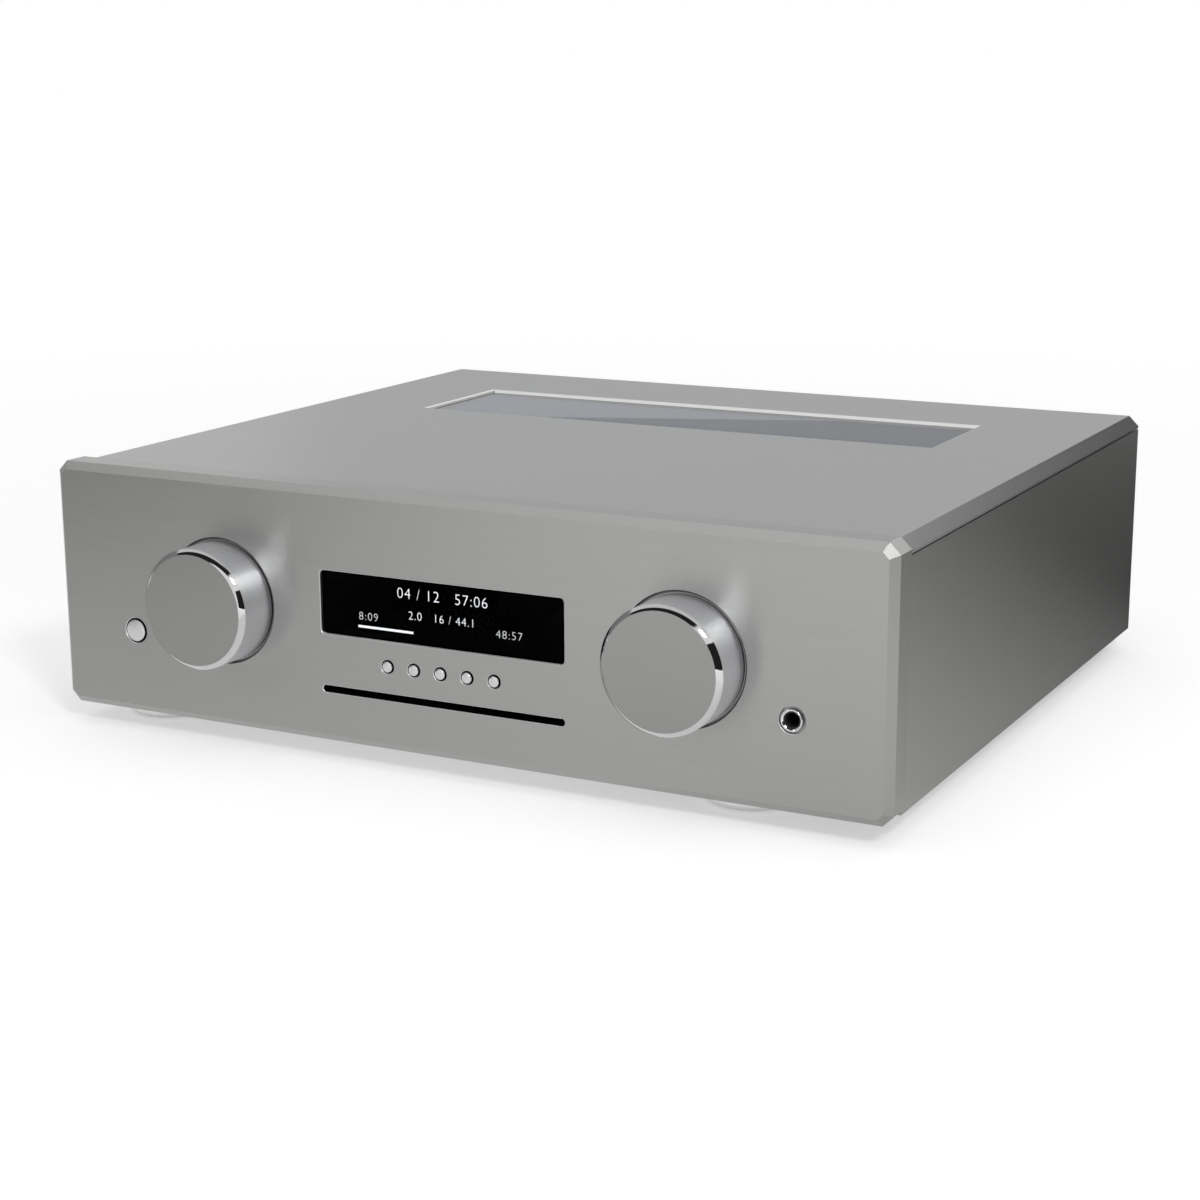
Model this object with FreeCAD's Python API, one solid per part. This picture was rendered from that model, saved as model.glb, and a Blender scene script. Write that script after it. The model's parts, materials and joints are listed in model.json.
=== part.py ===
import FreeCAD, Part
import math
import os

# Full-width hi-fi compact disc receiver with a slot loader, built as separate pieces.
# Millimetres. +X runs to the right seen from the front, +Y runs to the back, +Z runs up.
# The origin lies on the supporting surface, at the middle of the overall box.

# Overall sizes
front_width = 430.0
front_height = 120.0
front_thick = 16.0
cabinet_depth = 370.0
foot_height = 10.0
knob_reach = 22.0
post_reach = 20.0

# Front plate outline and cabinet sheets
corner_cut = 5.0
edge_bevel = 3.6
edge_break = 0.3
cabinet_inset = 1.6
lid_thick = 6.2
lid_edge = 1.0
lid_seam = 0.6
side_thick = 4.0
base_thick = 2.0
rear_thick = 3.0
rear_inset = 1.0
inner_front_thick = 3.0
rail_size = 10.0
sheet_gap = 0.2

# Lid window
window_width = 295.0
window_depth = 76.0
window_rear_room = 66.0
window_drop = 1.6
window_glass_thick = 4.0
window_ledge = 5.0

# Display
display_width = 126.4
display_height = 30.0
display_centre_up = 66.7
display_corner = 2.2
display_setback = 1.8
display_glass_thick = 2.0
display_margin = 4.0
display_clear = 0.2
display_panel_thick = 2.5

# Disc slot and disc
slot_side_room = 3.2
slot_height = 3.4
slot_corner = 1.66
slot_up = 25.7
mouth_height = 8.0
cable_hole_width = 60.0
cable_hole_height = 8.0
disc_radius = 60.0
disc_thick = 1.2
disc_hole = 7.5

# Knobs, their shafts and encoders
knob_inset = 95.5
knob_up = 61.0
knob_radius = 28.5
knob_bevel = 2.3
knob_gap = 1.6
knob_well_depth = 1.4
knob_floor_gap = 0.5
knob_wall = 5.0
knob_hub_radius = 8.0
knob_cavity_depth = 14.0
shaft_radius = 3.0
shaft_bite = 12.0
running_gap = 0.05
bush_radius = 4.5
encoder_size = 16.0
encoder_length = 9.0
encoder_floor = 2.0
shaft_end_room = 0.5
encoder_nut_radius = 7.0
encoder_nut_thick = 2.5
nut_room = 2.0
bush_reach = 5.0
web_room = 0.8

# Push buttons
key_count = 5
key_pitch = 13.9
key_up = 40.0
key_radius = 2.7
key_ring_gap = 0.4
key_travel = 1.0
power_inset = 44.6
power_up = 40.8
power_radius = 5.4
power_ring_gap = 0.6
power_travel = 1.5
cap_proud = 0.6
cap_bevel = 0.5
hole_sink = 0.5
collar_step = 1.5
collar_thick = 1.2
collar_room = 0.6
button_shelf = 4.5
stem_radius = 1.7
stop_gap = 0.3
board_thick = 1.6
control_pocket_depth = 8.5
control_board_height = 11.0
board_overhang = 9.0
board_end_room = 1.0
switch_size = 6.0
switch_height = 3.3

# Headphone socket
jack_inset = 44.6
jack_up = 41.3
jack_bore_radius = 3.2
jack_barrel_radius = 4.2
jack_ring_radius = 5.0
jack_well_room = 1.0
jack_sink = 0.4
jack_well_depth = 2.2
jack_ring_thick = 3.0
jack_body_size = 15.0
jack_body_length = 22.0
jack_bore_length = 30.0

# Feet
foot_radius = 23.0
foot_left_room = 10.0
foot_right_room = 57.0
foot_front_room = 3.0
foot_rear_room = 19.0
foot_round = 3.0
pad_radius = 17.0
pad_thick = 2.0
pad_proud = 0.8
foot_bore_radius = 6.5
foot_web = 4.0

# Slot drive
drive_side_room = 10.0
drive_rear_room = 87.0
drive_sheet = 1.5
drive_leg_height = 2.5
drive_wall_rise = 11.3
drive_cover_thick = 1.2
leg_radius = 5.0
disc_raise = 1.8
drive_gap = 0.3
drive_mouth_offset = 78.0
clamp_radius = 15.0
clamp_flange_radius = 18.0
clamp_flange_thick = 1.2
clamp_gap = 0.6
traverse_lift = 6.3
traverse_thick = 2.5
traverse_post_height = 2.4
traverse_post_radius = 3.0
traverse_half = 31.0
traverse_window_half = 12.0
traverse_front = 18.0
traverse_rear = 5.0
turntable_radius = 15.0
turntable_thick = 1.8
turntable_hub_height = 2.2
spindle_motor_radius = 12.0
spindle_motor_height = 6.0
spindle_radius = 1.0
hub_clear = 0.1
hub_bevel = 0.6
stub_length = 4.0
lug_thick = 2.5
lug_room = 1.2
lug_rise = 0.5
lug_end_room = 1.0
sled_float = 0.6
sled_travel = 34.0
sled_length = 20.0
sled_width = 42.0
sled_height = 5.0
rail_rod_radius = 1.5
rail_rod_spread = 17.0
screw_offset = 26.0
screw_radius = 1.5
sled_motor_radius = 3.7
sled_motor_length = 16.0
lens_radius = 2.5
lens_rise = 1.2
arm_wall = 2.0
arm_half = 4.0
arm_roof = 1.5
roller_room = 1.12
roller_end_room = 2.0
roller_radius = 5.0
roller_waist = 4.0
roller_shaft_radius = 1.5
gear_module = 0.8
roller_teeth = 18
pinion_teeth = 12
gear_width = 4.0
gear_backlash = 0.2
gear_dedendum = 1.2
gear_addendum = 0.85
gear_wall_room = 1.3
pressure_angle = math.radians(20)
flank_steps = 4
loader_motor_radius = 6.0
loader_motor_length = 21.0
loader_motor_lift = 1.0
saddle_half = 4.0
saddle_end_room = 2.0

# Rear fittings
post_radius = 3.0
post_bore_radius = 2.0
post_bore_length = 14.0
post_collar_radius = 8.0
post_collar_thick = 3.0
post_cap_radius = 7.5
post_cap_length = 17.0
post_shank_radius = 4.0
flute_count = 12
flute_radius = 1.2
flute_out = 0.5
flute_start = 3.0
post_spacing = 25.0
post_up = 32.0
post_pair_xs = (-100.0, 150.0)
post_nut_thick = 6.0
rca_columns = 6
rca_pitch = 17.0
rca_ups = (66.0, 86.0)
rca_radius = 4.15
rca_flange = 1.0
rca_length = 9.0
rca_pin_radius = 1.6
rca_body_radius = 4.9
rca_body_length = 10.0
antenna_x = 64.0
antenna_radius = 4.75
antenna_wall = 1.0
antenna_body_radius = 6.0

# Mains inlet with its rocker switch
inlet_inset = 45.0
inlet_up = 36.0
inlet_rocker_rise = 24.0
inlet_module_height = 52.0
inlet_flange_width = 44.0
inlet_flange_thick = 3.0
inlet_flange_lip = 3.0
inlet_body_width = 32.0
inlet_body_length = 20.0
plug_width = 24.4
plug_height = 16.8
plug_depth = 17.0
blade_thick = 2.0
blade_width = 4.0
blade_length = 13.0
blade_spread = 7.0
blade_low = -2.0
blade_earth_rise = 2.0
rocker_width = 21.0
rocker_sink = 2.0
rocker_well_depth = 6.5
rocker_well_height = 16.0
rocker_depth = 3.0
rocker_ear = 3.2
rocker_dip = 1.4
rocker_tip_room = 0.4
rocker_tilt = 10.0
pivot_length = 1.0
pivot_radius = 1.0

# Inner boards
amp_rear_room = 32.0
amp_length = 120.0
amp_width = 68.0
coil_inset = 18.0
coil_shares = (0.3, 0.7)
board_lift = 10.0
toroid_radius = 52.0
toroid_hole = 14.0
toroid_height = 48.0
toroid_round = 14.0
toroid_front_room = 12.0
capacitor_radius = 15.0
capacitor_gap = 3.0
capacitor_height = 45.0
spacer_radius = 2.8
spacer_inset = 6.0
power_setback = 16.0
power_side_room = 7.4
power_edge_room = 7.5
power_length = 110.0
relay_width = 16.0
relay_length = 24.0
relay_height = 16.0
block_inset = 6.0
bridge_width = 6.0
bridge_length = 28.0
bridge_height = 22.0
bridge_offset = 44.0
bridge_room = 9.5
coil_radius = 9.0
coil_height = 16.0
heatsink_base = 5.0
heatsink_clear = 2.0
heatsink_depth = 29.4
heatsink_top_room = 13.6
fin_count = 12
fin_thick = 2.0
digital_depth = 58.0
chip_size = 20.0
chip_height = 1.5
chip_inset = 12.0
board_edge_room = 1.0
tube_radius = 11.0
tube_height = 46.0
tube_round = 8.0
tube_tip_radius = 2.0
tube_tip_height = 2.0
tube_tip_root = 1.0
tube_top_room = 5.2
tube_x = 32.0
tube_board_width = 120.0
tube_board_depth = 42.0
tube_socket_height = 8.0
tube_socket_wall = 1.0

# Cooling slots in the base
vent_rows = 6
vent_pitch = 12.0
vent_length = 46.0
vent_width = 3.5

# Screws
screw_thread_radius = 1.5
screw_head_radius = 2.8
screw_head_height = 1.8
screw_length = 8.0
hex_socket_radius = 1.0
hex_socket_depth = 1.1
lid_bite = 3.0
rail_bite = 5.0
screw_end_room = 0.3
base_screw_shares = (0.25, 0.5, 0.75)
lid_screw_shares = (0.1, 0.9)

# How closely an edge must match a height or a direction to be picked for a fillet or a bevel
edge_match = 0.01
along = 0.9

V = FreeCAD.Vector
X_AXIS = V(1, 0, 0)
Y_AXIS = V(0, 1, 0)
Z_AXIS = V(0, 0, 1)

# Planes worked out from the driving sizes
overall_depth = knob_reach + cabinet_depth + post_reach
front_y = knob_reach - overall_depth / 2
rear_y = front_y + cabinet_depth
plate_back_y = front_y + front_thick
inner_back_y = plate_back_y + inner_front_thick
plate_low_z = foot_height
plate_top_z = foot_height + front_height
lid_top_z = plate_top_z - cabinet_inset
lid_low_z = lid_top_z - lid_thick
lid_chamfer = lid_thick - lid_edge
side_top_z = lid_low_z - lid_seam
cabinet_low_z = plate_low_z + cabinet_inset
base_top_z = cabinet_low_z + base_thick
half_front = front_width / 2
half_cabinet = half_front - cabinet_inset
half_inside = half_cabinet - side_thick
rear_out_y = rear_y - rear_inset
rear_in_y = rear_out_y - rear_thick
rail_in_x = half_inside - rail_size
amp_y1 = rear_in_y - amp_rear_room
amp_y0 = amp_y1 - amp_length
amp_out_x = rail_in_x - heatsink_depth - heatsink_clear
amp_in_x = amp_out_x - amp_width
half_drive = disc_radius + drive_side_room
slot_width = 2 * (disc_radius + slot_side_room)


def box(x0, x1, y0, y1, z0, z1):
    """A block between two corners."""
    return Part.makeBox(x1 - x0, y1 - y0, z1 - z0, V(x0, y0, z0))


def rod_x(y, z, radius, x0, x1):
    """A round bar along X."""
    return Part.makeCylinder(radius, x1 - x0, V(x0, y, z), X_AXIS)


def rod_y(x, z, radius, y0, y1):
    """A round bar along Y."""
    return Part.makeCylinder(radius, y1 - y0, V(x, y0, z), Y_AXIS)


def rod_z(x, y, radius, z0, z1):
    """A round bar along Z."""
    return Part.makeCylinder(radius, z1 - z0, V(x, y, z0), Z_AXIS)


def cone_y(x, z, r0, r1, y0, y1):
    """A cone frustum along Y, r0 at y0 and r1 at y1."""
    return Part.makeCone(r0, r1, y1 - y0, V(x, y0, z), Y_AXIS)


def rounded_slot(width, height, corner, x, z, y0, y1):
    """A rectangle with rounded corners on the front, run along Y."""
    body = box(x - width / 2, x + width / 2, y0, y1, z - height / 2, z + height / 2)
    edges = [e for e in body.Edges if abs(e.tangentAt(e.FirstParameter).y) > along]
    return body.makeFillet(corner, edges)


def broken_edge(width, height, corner, x, z):
    """The small bevel round a cut-out in the front face, as a solid to cut away."""
    wide, high = width + 2 * edge_break, height + 2 * edge_break
    body = rounded_slot(wide, high, corner + edge_break, x, z, front_y - edge_break, front_y + edge_break)
    inner = [e for e in body.Edges
             if all(abs(v.Point.y - front_y - edge_break) < edge_match for v in e.Vertexes)]
    return body.makeChamfer(edge_break, inner)


def broken_rim(x, z, radius):
    """The small bevel round a bore in the front face, as a solid to cut away."""
    return cone_y(x, z, radius + edge_break, radius, front_y, front_y + edge_break)


def fuse(first, *others):
    """One solid from pieces that share faces."""
    return first.fuse(list(others)).removeSplitter()


def save(name, shapes):
    """Writes one node as a STEP file, from a solid or a list of solids."""
    group = shapes if isinstance(shapes, list) else [shapes]
    solids = [s for shape in group for s in shape.Solids]
    out = solids[0] if len(solids) == 1 else Part.makeCompound(solids)
    out.exportStep(os.path.join("parts", name + ".step"))
    box_ = out.BoundBox
    print("%-22s %2d solids  %9.1f mm3  y %.1f to %.1f  z %.1f to %.1f" % (
        name, len(solids), out.Volume, box_.YMin, box_.YMax, box_.ZMin, box_.ZMax))
    for s in solids:
        if not s.isValid():
            print("  NOT VALID", name)


os.makedirs("parts", exist_ok=True)

# Heights of the front features above the supporting surface
display_z = plate_low_z + display_centre_up
slot_z = plate_low_z + slot_up
knob_z = plate_low_z + knob_up
key_z = plate_low_z + key_up
power_z = plate_low_z + power_up
jack_z = plate_low_z + jack_up
knob_x = half_front - knob_inset
power_x = power_inset - half_front
jack_x = half_front - jack_inset
key_xs = [(i - (key_count - 1) / 2) * key_pitch for i in range(key_count)]
knob_xs = (-knob_x, knob_x)


# Screws. Each is a place under its head, the direction from its tip to its head, and its length.
rail_low_z = base_top_z + rail_size / 2
rail_high_z = lid_low_z - rail_size / 2
rail_mid_x = half_inside - rail_size / 2
foot_xs = (foot_left_room + foot_radius - half_front, half_front - foot_right_room - foot_radius)
foot_ys = (plate_back_y + foot_front_room + foot_radius, rear_y - foot_rear_room - foot_radius)
rail_run = rear_in_y - inner_back_y
screws = []
for side in (-1, 1):
    rail_x = side * rail_mid_x
    for z in (rail_low_z, rail_high_z):
        screws.append((V(rail_x, rear_out_y, z), Y_AXIS, screw_length))
        screws.append((V(rail_x - side * rail_size, inner_back_y, z), Y_AXIS, inner_front_thick + rail_bite))
    for share in base_screw_shares:
        screws.append((V(rail_x, inner_back_y + rail_run * share, cabinet_low_z), Z_AXIS * -1, screw_length))
    for share in lid_screw_shares:
        y = inner_back_y + rail_run * share
        screws.append((V(rail_x, y, lid_low_z - rail_size), Z_AXIS * -1, rail_size + lid_bite))
for x in foot_xs:
    for y in foot_ys:
        screws.append((V(x, y, cabinet_low_z - foot_web), Z_AXIS * -1, foot_web + base_thick))


def screw_solid(place, away, length):
    """A socket-head machine screw whose head stands on the plane through place."""
    shank = Part.makeCylinder(screw_thread_radius, length, place, away * -1)
    head = Part.makeCylinder(screw_head_radius, screw_head_height, place, away)
    socket_floor = place + away * (screw_head_height - hex_socket_depth)
    socket = Part.makeCylinder(hex_socket_radius, hex_socket_depth, socket_floor, away)
    return fuse(head, shank).cut(socket)


def screw_hole(place, away, length):
    """The bore that a screw's shank fills, ending a little deeper."""
    return Part.makeCylinder(screw_thread_radius, length + screw_end_room, place, away * -1)


screw_holes = [screw_hole(*s) for s in screws]


# Front plate: a thick aluminium plate with cut corners and a bevel all round its front face
def front_outline():
    """The plate's eight-sided face in the front plane."""
    corners = []
    for x_side, z_side in ((-1, -1), (1, -1), (1, 1), (-1, 1)):
        x = x_side * half_front
        z = plate_low_z if z_side < 0 else plate_top_z
        on_side = V(x, front_y, z - z_side * corner_cut)
        on_level = V(x - x_side * corner_cut, front_y, z)
        corners += [on_side, on_level] if x_side == z_side else [on_level, on_side]
    return Part.Face(Part.makePolygon(corners + corners[:1]))


well_floor_y = front_y + knob_well_depth
nut_well_depth = encoder_nut_thick + bush_reach
control_z = (key_z + power_z) / 2
pocket_y = plate_back_y - control_pocket_depth
pocket_half = control_board_height / 2 + collar_room
glass_y = front_y + display_setback
pocket_width = display_width + 2 * display_margin
pocket_height = display_height + 2 * display_margin
buttons = [("function_button_%d" % (i + 1), x, key_z, key_radius, key_ring_gap, key_travel)
           for i, x in enumerate(key_xs)]
buttons.append(("power_button", power_x, power_z, power_radius, power_ring_gap, power_travel))

front_panel = front_outline().extrude(V(0, front_thick, 0))
front_edges = [e for e in front_panel.Edges
               if all(abs(v.Point.y - front_y) < edge_match for v in e.Vertexes)]
front_panel = front_panel.makeChamfer(edge_bevel, front_edges)
cuts = []
for x in knob_xs:
    cuts.append(rod_y(x, knob_z, knob_radius + knob_gap, front_y, well_floor_y))
    cuts.append(broken_rim(x, knob_z, knob_radius + knob_gap))
    cuts.append(rod_y(x, knob_z, shaft_radius + web_room, front_y, plate_back_y))
    cuts.append(rod_y(x, knob_z, encoder_nut_radius + nut_room, plate_back_y - nut_well_depth, plate_back_y))
cuts.append(rounded_slot(display_width, display_height, display_corner, 0, display_z, front_y, plate_back_y))
cuts.append(broken_edge(display_width, display_height, display_corner, 0, display_z))
cuts.append(rounded_slot(pocket_width, pocket_height, display_corner, 0, display_z, glass_y, plate_back_y))
cuts.append(rounded_slot(slot_width, slot_height, slot_corner, 0, slot_z, front_y, plate_back_y))
cuts.append(broken_edge(slot_width, slot_height, slot_corner, 0, slot_z))
cuts.append(box(power_x - board_overhang, key_xs[-1] + board_overhang, pocket_y, plate_back_y,
                control_z - pocket_half, control_z + pocket_half))
for name, x, z, radius, ring_gap, travel in buttons:
    hole_radius = radius + ring_gap
    collar_bore = radius + collar_step + collar_room
    cuts.append(rod_y(x, z, hole_radius, front_y, plate_back_y - board_thick))
    cuts.append(cone_y(x, z, hole_radius + hole_sink, hole_radius, front_y, front_y + hole_sink))
    cuts.append(rod_y(x, z, collar_bore, front_y + button_shelf, pocket_y + collar_room))
cuts.append(rod_y(jack_x, jack_z, jack_ring_radius + jack_well_room, front_y, front_y + jack_well_depth))
cuts.append(broken_rim(jack_x, jack_z, jack_ring_radius + jack_well_room))
cuts.append(rod_y(jack_x, jack_z, jack_barrel_radius, front_y, plate_back_y))
front_panel = front_panel.cut(cuts + screw_holes)
save("front_panel", front_panel)

# Inner front: the plate behind, which carries the encoders, the socket and the control board
inner_front = box(-half_inside + sheet_gap, half_inside - sheet_gap, plate_back_y, inner_back_y,
                  base_top_z, lid_low_z)
cuts = [rod_y(x, knob_z, bush_radius, plate_back_y, inner_back_y) for x in knob_xs]
cuts.append(rod_y(jack_x, jack_z, jack_barrel_radius, plate_back_y, inner_back_y))
cuts.append(rounded_slot(slot_width + 2 * display_margin, mouth_height, display_corner, 0, slot_z,
                         plate_back_y, inner_back_y))
cuts.append(rounded_slot(cable_hole_width, cable_hole_height, display_corner, 0, display_z,
                         plate_back_y, inner_back_y))
inner_front = inner_front.cut(cuts + screw_holes)
save("inner_front", inner_front)

# Display: black glass against the lip of its cut-out, and the lit module behind it
display_glass = box(-pocket_width / 2 + display_clear, pocket_width / 2 - display_clear,
                    glass_y, glass_y + display_glass_thick,
                    display_z - pocket_height / 2 + display_clear,
                    display_z + pocket_height / 2 - display_clear)
corner_edges = [e for e in display_glass.Edges if abs(e.tangentAt(e.FirstParameter).y) > along]
display_glass = display_glass.makeFillet(display_corner, corner_edges)
save("display_glass", display_glass)

module_y = glass_y + display_glass_thick
board_y = module_y + display_panel_thick
half_w = pocket_width / 2 - 2 * display_clear
half_h = pocket_height / 2 - 2 * display_clear
display_module = box(-half_w + display_margin, half_w - display_margin, module_y, board_y,
                     display_z - half_h + display_clear, display_z + half_h - display_clear)
module_board = rounded_slot(2 * half_w, 2 * half_h, display_corner, 0, display_z,
                            board_y, board_y + board_thick)
module_posts = [rod_y(sx * (half_w - display_margin), display_z + sz * (half_h - display_margin),
                      stem_radius, board_y + board_thick, plate_back_y) for sx in (-1, 1) for sz in (-1, 1)]
save("display_module", fuse(display_module, module_board, *module_posts))

# Control board: one long board with a push switch behind each button
board_front_y = plate_back_y - board_thick
switch_front_y = board_front_y - switch_height
control_board = box(power_x - board_overhang + board_end_room, key_xs[-1] + board_overhang - board_end_room,
                    board_front_y, plate_back_y,
                    control_z - control_board_height / 2, control_z + control_board_height / 2)
half_switch = switch_size / 2
switches = [box(x - half_switch, x + half_switch, switch_front_y, board_front_y,
                z - half_switch, z + half_switch) for name, x, z, radius, ring_gap, travel in buttons]
save("control_board", fuse(control_board, *switches))

# Push buttons: a polished cap, a collar that stops behind the shelf of its hole, and a stem
for name, x, z, radius, ring_gap, travel in buttons:
    collar_y = front_y + button_shelf + stop_gap
    stem_end_y = switch_front_y - travel - stop_gap
    cap = rod_y(x, z, radius, front_y - cap_proud + cap_bevel, collar_y)
    bevel = cone_y(x, z, radius - cap_bevel, radius, front_y - cap_proud, front_y - cap_proud + cap_bevel)
    collar = rod_y(x, z, radius + collar_step, collar_y, collar_y + collar_thick)
    stem = rod_y(x, z, stem_radius, collar_y + collar_thick, stem_end_y)
    save(name, fuse(cap, bevel, collar, stem))

# Knobs: turned aluminium cups with a polished bevel, each pressed on its encoder's shaft
knob_face_y = front_y - knob_reach
knob_back_y = well_floor_y - knob_floor_gap
hub_back_y = knob_back_y - knob_floor_gap
bush_tip_y = plate_back_y - nut_well_depth + web_room
shaft_front_y = hub_back_y - shaft_bite
shaft_end_y = inner_back_y + encoder_length - encoder_floor
for name, x in (("source", -knob_x), ("volume", knob_x)):
    knob = rod_y(x, knob_z, knob_radius, knob_face_y + knob_bevel, knob_back_y)
    knob = fuse(knob, cone_y(x, knob_z, knob_radius - knob_bevel, knob_radius,
                             knob_face_y, knob_face_y + knob_bevel))
    cavity = rod_y(x, knob_z, knob_radius - knob_wall, knob_back_y - knob_cavity_depth, knob_back_y)
    hub = rod_y(x, knob_z, knob_hub_radius, knob_back_y - knob_cavity_depth, hub_back_y)
    knob = fuse(knob.cut(cavity), hub)
    knob = knob.cut(rod_y(x, knob_z, shaft_radius, shaft_front_y, hub_back_y))
    save(name + "_knob", knob)
    save(name + "_shaft", rod_y(x, knob_z, shaft_radius, shaft_front_y, shaft_end_y))

encoders = []
for x in knob_xs:
    half = encoder_size / 2
    body = box(x - half, x + half, inner_back_y, inner_back_y + encoder_length, knob_z - half, knob_z + half)
    bush = rod_y(x, knob_z, bush_radius, bush_tip_y, inner_back_y)
    nut = rod_y(x, knob_z, encoder_nut_radius, plate_back_y - encoder_nut_thick, plate_back_y)
    bore = rod_y(x, knob_z, shaft_radius + running_gap, bush_tip_y, shaft_end_y + shaft_end_room)
    encoders.append(fuse(body, bush, nut).cut(bore))
save("knob_encoders", encoders)

# Headphone socket: a threaded barrel with its contacts in a block, and the polished ring nut
jack_face_y = front_y + jack_sink
jack_half = jack_body_size / 2
jack = fuse(rod_y(jack_x, jack_z, jack_barrel_radius, jack_face_y, inner_back_y),
            box(jack_x - jack_half, jack_x + jack_half, inner_back_y, inner_back_y + jack_body_length,
                jack_z - jack_half, jack_z + jack_half))
jack = jack.cut(rod_y(jack_x, jack_z, jack_bore_radius, jack_face_y, jack_face_y + jack_bore_length))
save("headphone_jack", jack)
ring_y = front_y + jack_well_depth - jack_ring_thick
ring = fuse(rod_y(jack_x, jack_z, jack_ring_radius, ring_y + cap_bevel, front_y + jack_well_depth),
            cone_y(jack_x, jack_z, jack_ring_radius - cap_bevel, jack_ring_radius,
                   ring_y, ring_y + cap_bevel))
ring = ring.cut(rod_y(jack_x, jack_z, jack_barrel_radius, ring_y, front_y + jack_well_depth))
save("headphone_ring", ring)

# Lid: an aluminium plate with chamfered long edges and a window with a sloping rim
window_y1 = rear_y - window_rear_room
window_y0 = window_y1 - window_depth
half_window = window_width / 2
lid = box(-half_cabinet, half_cabinet, plate_back_y, rear_y, lid_low_z, lid_top_z)
long_edges = [e for e in lid.Edges if abs(e.tangentAt(e.FirstParameter).y) > along
              and abs(e.Vertexes[0].Point.z - lid_top_z) < edge_match]
lid = lid.makeChamfer(lid_chamfer, long_edges)


def window_rectangle(inset, z):
    """A wire round the window, drawn in by inset, at height z."""
    x0, x1 = -half_window + inset, half_window - inset
    y0, y1 = window_y0 + inset, window_y1 - inset
    points = [V(x0, y0, z), V(x1, y0, z), V(x1, y1, z), V(x0, y1, z)]
    return Part.makePolygon(points + points[:1])


rim = Part.makeLoft([window_rectangle(0, lid_top_z), window_rectangle(window_drop, lid_top_z - window_drop)],
                    True, True)
ledge_in = window_drop - window_ledge
rebate = box(-half_window + ledge_in, half_window - ledge_in, window_y0 + ledge_in, window_y1 - ledge_in,
             lid_low_z, lid_top_z - window_drop)
lid = lid.cut([rim, rebate] + screw_holes)
save("top_cover", lid)
glass_in = ledge_in + sheet_gap
glass_top_z = lid_top_z - window_drop
glass_low_z = glass_top_z - window_glass_thick
save("cover_glass", box(-half_window + glass_in, half_window - glass_in, window_y0 + glass_in,
                        window_y1 - glass_in, glass_low_z, glass_top_z))

# Side panels, and the four rails along the cabinet that every panel is screwed to
for name, side in (("side_panel_left", -1), ("side_panel_right", 1)):
    x0, x1 = sorted((side * half_inside, side * half_cabinet))
    save(name, box(x0, x1, plate_back_y, rear_y, cabinet_low_z, side_top_z))
rails = []
for side in (-1, 1):
    x0, x1 = sorted((side * half_inside, side * rail_in_x))
    rails.append(box(x0, x1, inner_back_y, rear_in_y, base_top_z, base_top_z + rail_size).cut(screw_holes))
    rails.append(box(x0, x1, inner_back_y, rear_in_y, lid_low_z - rail_size, lid_low_z).cut(screw_holes))
save("side_rails", rails)

# Base plate with two fields of cooling slots, ahead of the rear feet
vent_mid_x = (amp_in_x + amp_out_x) / 2
base_plate = box(-half_inside + sheet_gap, half_inside - sheet_gap, plate_back_y, rear_in_y,
                 cabinet_low_z, base_top_z)
slots = []
for side in (-1, 1):
    for row in range(vent_rows):
        y = amp_y0 + (row + 0.5) * vent_pitch
        slot = box(side * vent_mid_x - vent_length / 2, side * vent_mid_x + vent_length / 2,
                   y - vent_width / 2, y + vent_width / 2, cabinet_low_z, base_top_z)
        slots.append(slot)
base_plate = base_plate.cut(slots + screw_holes)
save("base_plate", base_plate)

# Feet: aluminium discs with a rounded lower edge, each with a rubber ring let into it
feet = []
pads = []
for x in foot_xs:
    for y in foot_ys:
        foot = rod_z(x, y, foot_radius, pad_proud, cabinet_low_z)
        low_edge = [e for e in foot.Edges if e.BoundBox.ZMax < pad_proud + edge_match]
        foot = foot.makeFillet(foot_round, low_edge)
        foot = foot.cut([rod_z(x, y, pad_radius, pad_proud, pad_thick),
                         rod_z(x, y, foot_bore_radius, pad_proud, cabinet_low_z - foot_web)] + screw_holes)
        feet.append(foot)
        pads.append(rod_z(x, y, pad_radius - sheet_gap, 0, pad_thick).cut(
            rod_z(x, y, foot_bore_radius, 0, pad_thick)))
save("feet", feet)
save("foot_pads", pads)
save("case_screws", [screw_solid(*s) for s in screws])

# Slot drive: a sheet chassis with an open mouth, standing on four legs
drive_y0 = inner_back_y + drive_gap
floor_z0 = base_top_z + drive_leg_height
floor_z1 = floor_z0 + drive_sheet
wall_top_z = slot_z + drive_wall_rise
disc_y = drive_y0 + drive_mouth_offset
drive_y1 = disc_y + drive_rear_room
disc_low_z = slot_z - disc_thick / 2
roller_y = drive_y0 + gear_module * (roller_teeth / 2 + gear_addendum) + roller_room
roller_z = disc_low_z - roller_radius
centre_distance = gear_module * (roller_teeth + pinion_teeth) / 2
pinion_z = floor_z1 + loader_motor_radius + loader_motor_lift
pinion_y = roller_y + math.sqrt(centre_distance ** 2 - (roller_z - pinion_z) ** 2)
gear_x0 = half_drive - drive_sheet - gear_width - gear_wall_room
gear_x1 = gear_x0 + gear_width
loader_motor_x1 = gear_x0 - gear_wall_room
loader_motor_x0 = loader_motor_x1 - loader_motor_length
traverse_z0 = floor_z1 + traverse_post_height
traverse_z1 = traverse_z0 + traverse_thick
traverse_y0 = disc_y - traverse_front
lug_y0 = disc_y + spindle_motor_radius + lug_room
lug_y1 = lug_y0 + lug_thick
sled_y0 = lug_y1 + stop_gap
sled_y1 = sled_y0 + sled_length
traverse_y1 = sled_y1 + sled_travel + traverse_rear

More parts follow.
